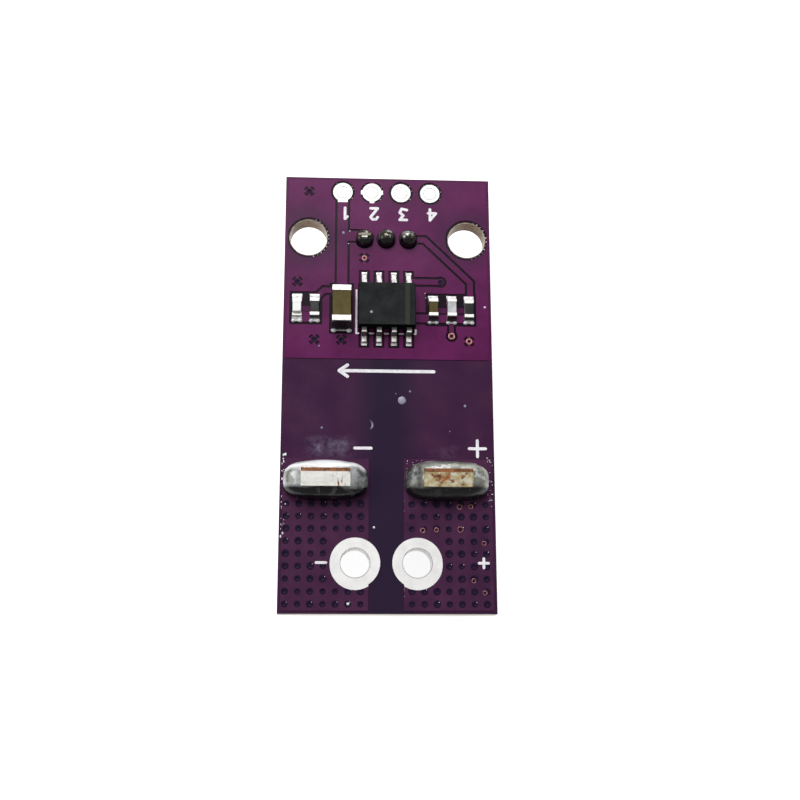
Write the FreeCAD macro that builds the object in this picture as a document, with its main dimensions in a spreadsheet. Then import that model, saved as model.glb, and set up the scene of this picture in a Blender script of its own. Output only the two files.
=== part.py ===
import FreeCAD, Part
import math
import os
import re

import Sketcher

# Hall effect current sensor board. Millimetres, +Z up, +Y towards the header end.
# The origin lies under the middle of the board, on the surface that the moulded sensor rests on.

SIZES = {
    # Board and copper
    "board_width": 17.78,
    "board_length": 37.8,
    "board_thickness": 1.6,
    "copper_thickness": 0.07,
    "copper_inset": 0.25,
    "plating_wall": 0.05,
    "isolation_gap": 0.2,
    "plane_drop": 4.45,
    "layout_shift": -0.12,
    # Plain mounting holes
    "mount_hole_diameter": 3.2,
    "mount_hole_edge": 2.04,
    "mount_hole_inset": 5.65,
    "mount_hole_margin": 0.25,
    # Header holes
    "header_pitch": 2.54,
    "header_inset": 1.35,
    "header_hole_diameter": 1.02,
    "header_pad_diameter": 1.7,
    # Power pours, their rings and stitching vias
    "pour_gap": 2.9,
    "pour_overhang": 1.9,
    "ring_spacing": 5.08,
    "ring_inset": 4.1,
    "ring_diameter": 4.1,
    "ring_hole_diameter": 2.4,
    "via_pitch": 1.016,
    "via_width": 0.42,
    "via_edge_inset": 0.79,
    "negative_via_margin": 0.33,
    "positive_via_margin": 0.63,
    "via_pad_diameter": 0.62,
    "relief_width": 0.2,
    "via_spoke_width": 0.21,
    "header_spoke_width": 0.4,
    # Moulded sensor
    "sensor_height": 7.0,
    "sensor_setback": 2.6,
    "sensor_nose_length": 4.4,
    "sensor_nose_shoulder": 2.0,
    "sensor_nose_height": 4.4,
    "sensor_nose_gap": 1.3,
    "mould_draft": 3.0,
    "mould_corner": 0.6,
    "ejector_mark_diameter": 2.0,
    "ejector_mark_depth": 0.1,
    "ejector_mark_inset": 3.0,
    # Signal leads and their joints
    "signal_inset": 5.7,
    "signal_pitch": 1.91,
    "signal_lead_width": 0.51,
    "signal_lead_thickness": 0.38,
    "signal_bend_radius": 0.5,
    "signal_hole_diameter": 0.9,
    "signal_pad_diameter": 1.52,
    "signal_dome_height": 0.8,
    "signal_tip_height": 0.95,
    "signal_foot_height": 0.3,
    # Conductor, its legs and their joints
    "terminal_inset": 10.8,
    "leg_outer_inset": 1.89,
    "leg_gap": 6.0,
    "leg_thickness": 1.5,
    "leg_tip_height": 2.0,
    "leg_bend_radius": 0.8,
    "leg_slot_gap": 0.35,
    "loop_shoulder": 1.0,
    "loop_slot_width": 4.4,
    "loop_bar": 2.6,
    "loop_cover": 2.2,
    "loop_neck": 1.2,
    "mound_overhang": 1.5,
    "mound_width": 3.3,
    "mound_height": 1.9,
    "mound_rounding": 1.5,
    "mound_foot_rim": 0.4,
    # Flux core and Hall chip
    "core_width": 3.6,
    "core_limb": 1.0,
    "core_clearance": 0.45,
    "chip_thickness": 0.9,
    "chip_width": 4.6,
    "chip_length": 1.5,
    # Amplifier
    "parts_inset": 12.05,
    "amp_length": 4.9,
    "amp_width": 3.9,
    "amp_height": 1.4,
    "amp_standoff": 0.15,
    "amp_draft": 7.0,
    "amp_lead_pitch": 1.27,
    "amp_lead_span": 6.0,
    "amp_lead_width": 0.42,
    "amp_lead_thickness": 0.2,
    "amp_lead_root": 0.3,
    "amp_shoulder": 0.3,
    "amp_foot_length": 0.6,
    "amp_pad_width": 0.6,
    "amp_pad_length": 1.3,
    "amp_pad_toe": 0.3,
    "land_gap": 0.17,
    # Chip parts, lying along the board
    "large_chip_length": 3.2,
    "large_chip_width": 1.6,
    "large_chip_height": 1.6,
    "large_cap_band": 0.5,
    "small_chip_length": 1.6,
    "small_chip_width": 0.8,
    "small_cap_band": 0.32,
    "capacitor_height": 0.8,
    "resistor_height": 0.45,
    "lamp_height": 0.6,
    "lamp_base_height": 0.25,
    "overcoat_height": 0.06,
    "cap_wall": 0.04,
    "cap_chamfer": 0.05,
    "pad_margin": 0.05,
    "solder_reach": 0.42,
    "solder_climb": 0.6,
    "solder_toe": 0.06,
    "large_capacitor_share": 0.218,
    "small_capacitor_share": 0.235,
    "pale_capacitor_share": 0.476,
    "output_resistor_share": 0.704,
    "lamp_resistor_share": 0.581,
    "lamp_share": 0.818,
    # Tracks
    "supply_track_width": 0.9,
    "signal_track_width": 0.5,
    "filter_track_width": 0.7,
    "via_track_width": 0.38,
    "supply_branch_rise": 0.25,
    "output_jog_reach": 1.4,
    "output_track_shift": 0.15,
    "amp_via_reach": 2.78,
    "amp_via_rise": 2.5,
    "filter_via_drop": 2.35,
    "filter_track_drop": 0.8,
    "ground_pin_via_rise": 4.6,
    "upper_ground_via_rise": 2.35,
    "lower_ground_via_drop": 2.8,
    "back_track_lane": 1.0,
}

# Heights, counted from the floor
UNDERSIDE = "(sensor_height + copper_thickness)"
TOPSIDE = "(sensor_height + copper_thickness + board_thickness)"
LANDS = "(sensor_height + 2 * copper_thickness + board_thickness)"
LEAD_PLANE = "(sensor_height / 2)"

# Rows, counted from the middle of the board. The sensor fills the room between its two rows.
HEADER_ROW = "(board_length / 2 - header_inset)"
MOUNT_ROW = "(board_length / 2 - mount_hole_inset)"
SIGNAL_ROW = "(board_length / 2 - signal_inset)"
PARTS_ROW = "(board_length / 2 - parts_inset)"
TERMINAL_ROW = "(terminal_inset - board_length / 2)"
RING_ROW = "(ring_inset - board_length / 2)"
POUR_TOP = "(terminal_inset - board_length / 2 + pour_overhang)"
PLANE_END = "(board_length / 2 - parts_inset - plane_drop)"
MOULD_REAR = f"({TERMINAL_ROW} + sensor_setback)"
MOULD_FRONT = f"({SIGNAL_ROW} - sensor_nose_gap)"
MOULD_STEP = f"({MOULD_FRONT} - sensor_nose_length)"
LOOP_END = f"({MOULD_STEP} - loop_cover)"
LOOP_SLOT_END = f"({LOOP_END} - loop_bar)"
CHIP_REAR = f"({LOOP_END} + core_clearance)"
CHIP_FRONT = f"({CHIP_REAR} + chip_length)"

# Widths that follow the board
LEG_OUTER = "(board_width / 2 - leg_outer_inset)"
LEG_WIDTH = "(board_width / 2 - leg_outer_inset - leg_gap / 2)"
LEG_SPACING = "(board_width / 2 - leg_outer_inset + leg_gap / 2)"
MOUNT_SPACING = "(board_width - 2 * mount_hole_edge)"
AMP_LEFT = "(layout_shift - amp_length / 2)"
AMP_RIGHT = "(layout_shift + amp_length / 2)"

doc = FreeCAD.newDocument("current_sensor_board")
sheet = doc.addObject("Spreadsheet::Sheet", "Sizes")
for row, (alias, size) in enumerate(SIZES.items(), start=1):
    sheet.set(f"A{row}", str(size))
    sheet.setAlias(f"A{row}", alias)
doc.recompute()

ALIAS = re.compile(r"\b(" + "|".join(SIZES) + r")\b")


def bound(text):
    """The expression that reads its named sizes from the sheet."""
    return ALIAS.sub(r"Sizes.\1", text)


def value(text):
    """What an expression over the named sizes comes to now."""
    return float(sheet.evalExpression(bound(text)))


# Sketches

def new_body(name):
    body = doc.addObject("PartDesign::Body", name)
    body.Label = name
    return body


def new_sketch(body, lift="0", role="XY_Plane"):
    """An empty sketch on one of the body's own planes, lifted along that plane's normal."""
    sketch = body.newObject("Sketcher::SketchObject", body.Name + "_sketch")
    plane = next(item for item in body.Origin.OriginFeatures if item.Role == role)
    sketch.AttachmentSupport = [(plane, "")]
    sketch.MapMode = "FlatFace"
    sketch.setExpression("AttachmentOffset.Base.z", bound(lift))
    return sketch


def drive(sketch, constraint, text):
    index = sketch.addConstraint(constraint)
    sketch.setExpression(f"Constraints[{index}]", bound(text))


def bulged(start, end, radius):
    """The arc from start to end that turns left, with the given radius."""
    chord = end - start
    half = chord.Length / 2
    side = FreeCAD.Vector(chord.y, -chord.x, 0).normalize()
    sagitta = radius - math.sqrt(max(radius * radius - half * half, 0))
    return Part.Arc(start, start + chord / 2 + side * sagitta, end)


def outline(sketch, points, rounds=None):
    """A closed outline of straight lines, with an arc after each point that rounds names.

    Rounds holds the radius of each arc, which turns left, or right where a minus leads the text.
    """
    rounds = rounds or {}
    places = [FreeCAD.Vector(value(x), value(y), 0) for x, y in points]
    first = sketch.GeometryCount
    ends = []
    for index, start in enumerate(places):
        end = places[(index + 1) % len(places)]
        text = rounds.get(index)
        if text is None:
            sketch.addGeometry(Part.LineSegment(start, end))
            ends.append((1, 2))
        elif text.startswith("-"):
            sketch.addGeometry(bulged(end, start, value(text[1:])))
            ends.append((2, 1))
        else:
            sketch.addGeometry(bulged(start, end, value(text)))
            ends.append((1, 2))
    for index in range(len(places)):
        after = (index + 1) % len(places)
        joint = (first + index, ends[index][1], first + after, ends[after][0])
        sketch.addConstraint(Sketcher.Constraint("Coincident", *joint))
    for index, point in enumerate(points):
        for kind, text, number in zip(("DistanceX", "DistanceY"), point, places[index]):
            where = (-1, 1, first + index, ends[index][0])
            drive(sketch, Sketcher.Constraint(kind, *where, number), text)
    for index, text in rounds.items():
        radius = text.lstrip("-")
        chord = places[(index + 1) % len(places)] - places[index]
        if chord.Length < 1.999 * value(radius):
            drive(sketch, Sketcher.Constraint("Radius", first + index, value(radius)), radius)
    return first


def rectangle(sketch, left, bottom, right, top):
    outline(sketch, [(left, bottom), (right, bottom), (right, top), (left, top)])


def block(sketch, centre, middle, width, height):
    """A rectangle round a centre point."""
    rectangle(
        sketch,
        f"{centre} - ({width}) / 2",
        f"{middle} - ({height}) / 2",
        f"{centre} + ({width}) / 2",
        f"{middle} + ({height}) / 2",
    )


def circle(sketch, centre, middle, diameter):
    place = FreeCAD.Vector(value(centre), value(middle), 0)
    radius = value(diameter) / 2
    index = sketch.addGeometry(Part.Circle(place, FreeCAD.Vector(0, 0, 1), radius))
    drive(sketch, Sketcher.Constraint("DistanceX", -1, 1, index, 3, place.x), centre)
    drive(sketch, Sketcher.Constraint("DistanceY", -1, 1, index, 3, place.y), middle)
    drive(sketch, Sketcher.Constraint("Diameter", index, 2 * radius), diameter)


def slot(sketch, centre, middle, length, width):
    """A slot with round ends, along X."""
    reach = f"(({length}) - ({width})) / 2"
    low = f"{middle} - ({width}) / 2"
    high = f"{middle} + ({width}) / 2"
    left = f"{centre} - {reach}"
    right = f"{centre} + {reach}"
    end = f"({width}) / 2"
    points = [(left, low), (right, low), (right, high), (left, high)]
    first = outline(sketch, points, {1: end, 3: end})
    for arc, text in ((first + 1, right), (first + 3, left)):
        drive(sketch, Sketcher.Constraint("DistanceX", -1, 1, arc, 3, value(text)), text)


def polygon(sketch, places):
    """A closed outline at worked-out places."""
    for start, end in zip(places, places[1:] + places[:1]):
        sketch.addGeometry(Part.LineSegment(start, end))


# Features

def pad(body, sketch, height, both_ways=False, draft="0", downwards=False):
    feature = body.newObject("PartDesign::Pad", body.Name + "_pad")
    feature.Profile = sketch
    feature.Midplane = both_ways
    feature.Reversed = downwards
    feature.setExpression("Length", bound(height))
    feature.setExpression("TaperAngle", bound(draft))
    body.Tip = feature
    return feature


def pocket(body, sketch, depth):
    """Cuts down from the sketch."""
    feature = body.newObject("PartDesign::Pocket", body.Name + "_pocket")
    feature.Profile = sketch
    feature.setExpression("Length", bound(depth))
    body.Tip = feature
    return feature


def turn(body, sketch):
    """Turns a half section about the sketch's vertical axis."""
    feature = body.newObject("PartDesign::Revolution", body.Name + "_turn")
    feature.Profile = sketch
    feature.ReferenceAxis = (sketch, ["V_Axis"])
    feature.Angle = 360
    body.Tip = feature
    return feature


def box(name, left, front, low, width, length, height):
    """A Part box from its low corner and its three sizes."""
    solid = doc.addObject("Part::Box", name)
    solid.Label = name
    places = {"Placement.Base.x": left, "Placement.Base.y": front, "Placement.Base.z": low}
    sizes = {"Length": width, "Width": length, "Height": height}
    for path, text in {**places, **sizes}.items():
        solid.setExpression(path, bound(text))
    return solid


def placed(part, centre="0", middle="0", low="0"):
    for path, text in (("x", centre), ("y", middle), ("z", low)):
        part.setExpression(f"Placement.Base.{path}", bound(text))
    return part


def group(name, parts):
    gathered = doc.addObject("Part::Compound", name)
    gathered.Label = name
    gathered.Links = parts
    return gathered


def cut(name, base, tools):
    """The base without what the tools fill."""
    tool = tools[0] if len(tools) == 1 else group(name + "_tools", tools)
    result = doc.addObject("Part::Cut", name)
    result.Label = name
    result.Base = base
    result.Tool = tool
    return result


# Places that repeat

def header_place(index):
    return f"(layout_shift + ({index} - 1.5) * header_pitch)"


def signal_place(index):
    return f"(layout_shift + ({index} - 1) * signal_pitch)"


def side_place(side, spacing):
    return f"(layout_shift + {side} * {spacing} / 2)"


def mount_place(side):
    return f"({side} * {MOUNT_SPACING} / 2)"


def left_place(share):
    """A place between the amplifier's left end and the board's left edge."""
    return f"({AMP_LEFT} - {share} * ({AMP_LEFT} + board_width / 2))"


def right_place(share):
    """A place between the amplifier's right end and the board's right edge."""
    return f"({AMP_RIGHT} + {share} * (board_width / 2 - {AMP_RIGHT}))"


def amp_pin_place(index):
    return f"(layout_shift + ({index} - 1.5) * amp_lead_pitch)"


SIDES = {"negative": -1, "positive": 1}
GROUND_HEADER = 1
CHIP_PLACES = {
    "large_capacitor": left_place("large_capacitor_share"),
    "small_capacitor": right_place("small_capacitor_share"),
    "pale_capacitor": right_place("pale_capacitor_share"),
    "output_resistor": right_place("output_resistor_share"),
    "lamp_resistor": left_place("lamp_resistor_share"),
    "lamp": left_place("lamp_share"),
}


def chip_sizes(name):
    """Length, width and cap band of a chip part."""
    if name == "large_capacitor":
        return "large_chip_length", "large_chip_width", "large_cap_band"
    return "small_chip_length", "small_chip_width", "small_cap_band"


AMP_VIA = (f"({amp_pin_place(3)} + amp_via_reach)", f"({PARTS_ROW} + amp_via_rise)")
FILTER_VIA = (CHIP_PLACES["pale_capacitor"], f"({PARTS_ROW} - filter_via_drop)")
TRACK_VIAS = [AMP_VIA, FILTER_VIA]
GROUND_VIAS = [
    (amp_pin_place(0), f"({PARTS_ROW} + ground_pin_via_rise)"),
    (mount_place(-1), HEADER_ROW),
    (CHIP_PLACES["lamp"], f"({PARTS_ROW} + upper_ground_via_rise)"),
    (CHIP_PLACES["lamp_resistor"], f"({PARTS_ROW} - lower_ground_via_drop)"),
    (CHIP_PLACES["large_capacitor"], f"({PARTS_ROW} - lower_ground_via_drop)"),
    (CHIP_PLACES["output_resistor"], f"({PARTS_ROW} - lower_ground_via_drop)"),
]


# Tracks

def track_outline(route, width):
    """The outline of a track of constant width along its centre line, with mitred bends."""
    steps = [(end - start).normalize() for start, end in zip(route, route[1:])]
    befores = steps[:1] + steps
    afters = steps + steps[-1:]
    left, right = [], []
    for place, before, after in zip(route, befores, afters):
        bisector = (before + after).normalize()
        across = FreeCAD.Vector(-bisector.y, bisector.x, 0)
        reach = width / 2 / bisector.dot(before)
        left.append(place + across * reach)
        right.append(place - across * reach)
    return left + right[::-1]


def front_routes():
    """Centre lines of the front tracks, each with its width."""
    pad_row = f"({PARTS_ROW} + small_chip_length / 2)"
    branch = f"({SIGNAL_ROW} + supply_branch_rise)"
    filter_row = f"({PARTS_ROW} - filter_track_drop)"
    resistor_x = CHIP_PLACES["lamp_resistor"]
    output_x = CHIP_PLACES["output_resistor"]
    output_lane = f"({output_x} + output_track_shift)"
    jog = f"({signal_place(2)} + output_jog_reach)"
    jog_end = f"({PARTS_ROW} + amp_via_rise)"
    return [
        ([(header_place(0), HEADER_ROW), (header_place(0), pad_row)], "supply_track_width"),
        ([(header_place(0), branch), (signal_place(0), branch)], "supply_track_width"),
        (
            [
                (signal_place(2), SIGNAL_ROW),
                (jog, SIGNAL_ROW),
                (output_lane, jog_end),
                (output_lane, pad_row),
            ],
            "signal_track_width",
        ),
        ([(amp_pin_place(3), AMP_VIA[1]), AMP_VIA], "signal_track_width"),
        ([(amp_pin_place(3), filter_row), (output_x, filter_row)], "filter_track_width"),
        ([(CHIP_PLACES["pale_capacitor"], filter_row), FILTER_VIA], "via_track_width"),
        (
            [
                (resistor_x, pad_row),
                (f"{resistor_x} + small_chip_width", f"{pad_row} + small_chip_width"),
                (CHIP_PLACES["large_capacitor"], f"{pad_row} + small_chip_width"),
            ],
            "signal_track_width",
        ),
        ([(CHIP_PLACES["lamp"], filter_row), (resistor_x, filter_row)], "supply_track_width"),
    ]


def back_routes():
    """Centre lines of the back tracks, from the two signal vias to the last two header pads."""
    lane = f"({AMP_VIA[0]} - back_track_lane)"
    return [
        (
            [
                AMP_VIA,
                (AMP_VIA[0], f"({HEADER_ROW} - header_pitch / 2)"),
                (header_place(3), HEADER_ROW),
            ],
            "via_track_width",
        ),
        (
            [
                FILTER_VIA,
                (lane, f"({FILTER_VIA[1]} + amp_via_rise)"),
                (lane, SIGNAL_ROW),
                (header_place(2), f"({HEADER_ROW} - header_pitch / 2)"),
                (header_place(2), HEADER_ROW),
            ],
            "via_track_width",
        ),
    ]


def lay_tracks(body, routes, level, extra="0", remove=False):
    """Adds each track to a copper body, or clears its channel from it."""
    for route, width in routes:
        centre_line = [FreeCAD.Vector(value(x), value(y), 0) for x, y in route]
        sketch = new_sketch(body, level)
        polygon(sketch, track_outline(centre_line, value(f"{width} + {extra}")))
        if remove:
            pocket(body, sketch, "copper_thickness")
        else:
            pad(body, sketch, "copper_thickness")


def clear_circles(body, level, places, diameter):
    """Clears circles that stay apart from each other."""
    sketch = new_sketch(body, level)
    for x, y in places:
        circle(sketch, x, y, diameter)
    pocket(body, sketch, "copper_thickness")


def corner_places(x, y, radius, corners, turned):
    """The corners of a small regular shape round a point."""
    for index in range(corners):
        angle = math.radians(turned + 360 * index / corners)
        yield FreeCAD.Vector(x + radius * math.cos(angle), y + radius * math.sin(angle), 0)


def via_dimples(body, level, centres):
    """Six-sided dimples where the mask dips into plated vias."""
    sketch = new_sketch(body, level)
    for x, y in centres:
        polygon(sketch, list(corner_places(x, y, value("via_width / 2"), 6, 0)))
    pocket(body, sketch, "copper_thickness")


def thermal_reliefs(body, level, centres, land, spoke):
    """Four slots round each grounded hole, with four spokes of copper left between them."""
    inner = value(f"{land} / 2")
    outer = inner + value("relief_width")
    edge = math.asin(value(spoke) / 2 / inner)
    sketch = new_sketch(body, level)
    for x, y in centres:
        for quarter in range(4):
            turns = [math.pi / 2 * quarter + turn for turn in (edge, math.pi / 4, math.pi / 2 - edge)]
            corners = [(inner, turn) for turn in turns] + [(outer, turn) for turn in reversed(turns)]
            polygon(
                sketch,
                [FreeCAD.Vector(x + r * math.cos(a), y + r * math.sin(a), 0) for r, a in corners],
            )
    pocket(body, sketch, "copper_thickness")


# Board

def through_holes(body, level, depth, grow="0"):
    """Every drilled hole of the board, cut from one body."""
    sketch = new_sketch(body, level)
    for side in SIDES.values():
        circle(sketch, mount_place(side), MOUNT_ROW, "mount_hole_diameter")
        circle(sketch, side_place(side, "ring_spacing"), RING_ROW, f"ring_hole_diameter + {grow}")
        leg_slot(sketch, side)
    for index in range(4):
        circle(sketch, header_place(index), HEADER_ROW, f"header_hole_diameter + {grow}")
    for index in range(3):
        circle(sketch, signal_place(index), SIGNAL_ROW, "signal_hole_diameter")
    pocket(body, sketch, depth)


def leg_slot(sketch, side, rim="0"):
    """The round-ended slot that a conductor leg passes through."""
    slot(
        sketch,
        side_place(side, LEG_SPACING),
        TERMINAL_ROW,
        f"{LEG_WIDTH} + leg_thickness + 2 * leg_slot_gap + {rim}",
        f"leg_thickness + 2 * leg_slot_gap + {rim}",
    )


def laminate():
    body = new_body("laminate")
    sketch = new_sketch(body, UNDERSIDE)
    block(sketch, "0", "0", "board_width", "board_length")
    pad(body, sketch, "board_thickness")
    through_holes(body, TOPSIDE, "board_thickness", "2 * plating_wall")
    return body


def ground_plane(name, low, routes, windows=None):
    """The copper plane of the signal end, cleared round holes, tracks and lands."""
    body = new_body(name)
    level = f"{low} + copper_thickness"
    sketch = new_sketch(body, low)
    edge = "board_width / 2 - copper_inset"
    rectangle(sketch, f"-({edge})", PLANE_END, edge, "board_length / 2 - copper_inset")
    pad(body, sketch, "copper_thickness")
    mounts = [(mount_place(side), MOUNT_ROW) for side in SIDES.values()]
    clear_circles(body, level, mounts, "mount_hole_diameter + 2 * mount_hole_margin")
    headers = [(header_place(index), HEADER_ROW) for index in range(4)]
    ground = headers.pop(GROUND_HEADER)
    clear_circles(body, level, headers, "header_pad_diameter + 2 * isolation_gap")
    clear_circles(body, level, [ground], "header_pad_diameter")
    for index in range(3):
        signal = (signal_place(index), SIGNAL_ROW)
        clear_circles(body, level, [signal], "signal_pad_diameter + isolation_gap")
    lay_tracks(body, routes, level, "2 * isolation_gap", remove=True)
    clear_circles(body, level, TRACK_VIAS, "via_pad_diameter + 2 * isolation_gap")
    if windows:
        sketch = new_sketch(body, level)
        windows(sketch)
        pocket(body, sketch, "copper_thickness")
    centres = [(value(x), value(y)) for x, y in GROUND_VIAS]
    via_dimples(body, level, centres)
    thermal_reliefs(body, level, centres, "via_pad_diameter", "via_spoke_width")
    centre = (value(ground[0]), value(ground[1]))
    thermal_reliefs(body, level, [centre], "header_pad_diameter", "header_spoke_width")
    return body


def land_windows(sketch):
    """The clear laminate round the lands of the chip parts and the amplifier's leads."""
    part_window(sketch, "large_capacitor", "large_capacitor")
    part_window(sketch, "lamp", "lamp_resistor")
    part_window(sketch, "small_capacitor", "output_resistor")
    for index in range(4):
        for side in (-1, 1):
            amp_land(sketch, index, side, "2 * land_gap")


def part_window(sketch, first, last):
    """One window round a row of chip parts of one size."""
    length, width, _ = chip_sizes(first)
    margin = f"{width} / 2 + pad_margin + isolation_gap"
    reach = f"{length} / 2 + solder_reach + pad_margin + isolation_gap"
    rectangle(
        sketch,
        f"{CHIP_PLACES[first]} - ({margin})",
        f"{PARTS_ROW} - ({reach})",
        f"{CHIP_PLACES[last]} + ({margin})",
        f"{PARTS_ROW} + ({reach})",
    )


def amp_land(sketch, index, side, rim="0"):
    """The land of one amplifier lead, reaching past its toe."""
    reach = f"({PARTS_ROW} + {side} * (amp_lead_span / 2 + amp_pad_toe - amp_pad_length / 2))"
    block(sketch, amp_pin_place(index), reach, f"amp_pad_width + {rim}", f"amp_pad_length + {rim}")


def chip_land(sketch, name, side):
    """The land of one end of a chip part, reaching past its solder."""
    length, width, band = chip_sizes(name)
    land = f"({band} + solder_reach + 3 * pad_margin)"
    middle = f"({PARTS_ROW} + {side} * ({length} / 2 + solder_reach + pad_margin - {land} / 2))"
    block(sketch, CHIP_PLACES[name], middle, f"{width} + 2 * pad_margin", land)


def copper_tracks(name, low, routes, vias):
    """Tracks and via pads of one side."""
    body = new_body(name)
    sketch = new_sketch(body, low)
    for x, y in vias:
        circle(sketch, x, y, "via_pad_diameter")
    pad(body, sketch, "copper_thickness")
    lay_tracks(body, routes, low)
    return body


def trim_tracks(body, level, headers, signals):
    """Stops the tracks at the plated pads that they run into."""
    pads = [(header_place(index), HEADER_ROW) for index in headers]
    clear_circles(body, level, pads, "header_pad_diameter")
    if signals:
        pads = [(signal_place(index), SIGNAL_ROW) for index in signals]
        clear_circles(body, level, pads, "signal_pad_diameter")
    via_dimples(body, level, [(value(x), value(y)) for x, y in TRACK_VIAS])


def front_tracks():
    body = copper_tracks("front_tracks", TOPSIDE, front_routes(), TRACK_VIAS)
    sketch = new_sketch(body, TOPSIDE)
    for side in (-1, 1):
        for name in CHIP_PLACES:
            chip_land(sketch, name, side)
        for index in range(4):
            amp_land(sketch, index, side)
    pad(body, sketch, "copper_thickness")
    trim_tracks(body, LANDS, [0], [0, 2])
    return body


def back_tracks():
    body = copper_tracks("back_tracks", "sensor_height", back_routes(), TRACK_VIAS)
    trim_tracks(body, UNDERSIDE, [2, 3], [])
    return body


def via_field(side):
    """Centres of the stitching vias of one pour, a square grid left open round the ring."""
    edge = value("board_width / 2 - copper_inset")
    if side < 0:
        start = value("negative_via_margin") - edge
        end = value(side_place(side, "pour_gap"))
    else:
        start = value(side_place(side, "pour_gap") + " + positive_via_margin")
        end = edge
    bottom = value("via_edge_inset - board_length / 2")
    top = value(f"{TERMINAL_ROW} - mound_width / 2 - via_width / 2")
    pitch = value("via_pitch")
    ring_x, ring_y = value(side_place(side, "ring_spacing")), value(RING_ROW)
    keep_out = value("ring_diameter / 2")
    for row in range(1 + int((top - bottom) / pitch)):
        for column in range(1 + int((end - start - value("via_width")) / pitch)):
            x = start + column * pitch
            y = bottom + row * pitch
            if abs(x - ring_x) > keep_out or abs(y - ring_y) > keep_out:
                yield x, y


def power_pour(name, side, low, centres=()):
    """One wide pour of the current path, with its leg slot, ring seat and the vias it shows."""
    body = new_body(name)
    level = f"{low} + copper_thickness"
    outer = f"{side} * (board_width / 2 - copper_inset)"
    inner = side_place(side, "pour_gap")
    left, right = (outer, inner) if side < 0 else (inner, outer)
    sketch = new_sketch(body, low)
    rectangle(sketch, left, "copper_inset - board_length / 2", right, POUR_TOP)
    pad(body, sketch, "copper_thickness")
    sketch = new_sketch(body, level)
    leg_slot(sketch, side)
    pocket(body, sketch, "copper_thickness")
    clear_circles(body, level, [(side_place(side, "ring_spacing"), RING_ROW)], "ring_diameter")
    if centres:
        via_dimples(body, level, centres)
    return body


def plated_hole(name, centre, middle, hole, land):
    """A plated hole: a thin barrel with a flat rim on each face of the board."""
    body = new_body(name)
    wall = f"({hole}) / 2 + plating_wall"
    section = [
        (f"({hole}) / 2", "-copper_thickness"),
        (f"({land}) / 2", "-copper_thickness"),
        (f"({land}) / 2", "0"),
        (wall, "0"),
        (wall, "board_thickness"),
        (f"({land}) / 2", "board_thickness"),
        (f"({land}) / 2", "board_thickness + copper_thickness"),
        (f"({hole}) / 2", "board_thickness + copper_thickness"),
    ]
    sketch = new_sketch(body, role="XZ_Plane")
    outline(sketch, section)
    turn(body, sketch)
    return placed(body, centre, middle, UNDERSIDE)


# Moulded sensor

def signal_lead(index):
    """A flat lead that leaves the nose and bends up through the board."""
    body = new_body(f"signal_lead_{index + 1}")
    half = "signal_lead_thickness / 2"
    inside = "signal_bend_radius"
    outside = "(signal_bend_radius + signal_lead_thickness)"
    far = f"({SIGNAL_ROW} + {half})"
    near = f"({SIGNAL_ROW} - {half})"
    low = f"({LEAD_PLANE} - {half})"
    high = f"({LEAD_PLANE} + {half})"
    tip = f"({LANDS} + signal_tip_height)"
    sketch = new_sketch(body, role="YZ_Plane")
    points = [
        (CHIP_FRONT, low),
        (f"{far} - {outside}", low),
        (far, f"{low} + {outside}"),
        (far, tip),
        (near, tip),
        (near, f"{high} + {inside}"),
        (f"{near} - {inside}", high),
        (CHIP_FRONT, high),
    ]
    outline(sketch, points, {1: outside, 5: "-" + inside})
    pad(body, sketch, "signal_lead_width", both_ways=True)
    return placed(body, signal_place(index))


def primary_conductor():
    """A flat copper loop whose two legs bend up through the board."""
    body = new_body("primary_conductor")
    half = "leg_thickness / 2"
    bend = f"({TERMINAL_ROW} + {half} + leg_bend_radius)"
    neck = f"({MOULD_REAR} + loop_neck)"
    right = [
        ("leg_gap / 2", bend),
        (LEG_OUTER, bend),
        (LEG_OUTER, MOULD_REAR),
        (f"{LEG_OUTER} - loop_shoulder", neck),
        (f"{LEG_OUTER} - loop_shoulder", LOOP_END),
    ]
    inside = [
        ("loop_slot_width / 2", LOOP_SLOT_END),
        ("loop_slot_width / 2", neck),
        ("leg_gap / 2", MOULD_REAR),
    ]
    left = [(f"-({x})", y) for x, y in reversed(right)]
    inside_left = [(f"-({x})", y) for x, y in reversed(inside)]
    sketch = new_sketch(body, f"{LEAD_PLANE} - {half}")
    outline(sketch, right + left + inside_left + inside)
    pad(body, sketch, "leg_thickness")
    for side in SIDES.values():
        leg(body, side, bend)
    return placed(body, "layout_shift")


def leg(body, side, bend):
    half = "leg_thickness / 2"
    inside = "leg_bend_radius"
    outside = "(leg_bend_radius + leg_thickness)"
    far = f"({TERMINAL_ROW} - {half})"
    near = f"({TERMINAL_ROW} + {half})"
    low = f"({LEAD_PLANE} - {half})"
    high = f"({LEAD_PLANE} + {half})"
    tip = f"({LANDS} + leg_tip_height)"
    points = [
        (bend, low),
        (bend, high),
        (near, f"{high} + {inside}"),
        (near, tip),
        (far, tip),
        (far, f"{low} + {outside}"),
    ]
    sketch = new_sketch(body, f"{side} * {LEG_SPACING} / 2", "YZ_Plane")
    outline(sketch, points, {1: "-" + inside, 5: outside})
    pad(body, sketch, LEG_WIDTH, both_ways=True)


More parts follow.
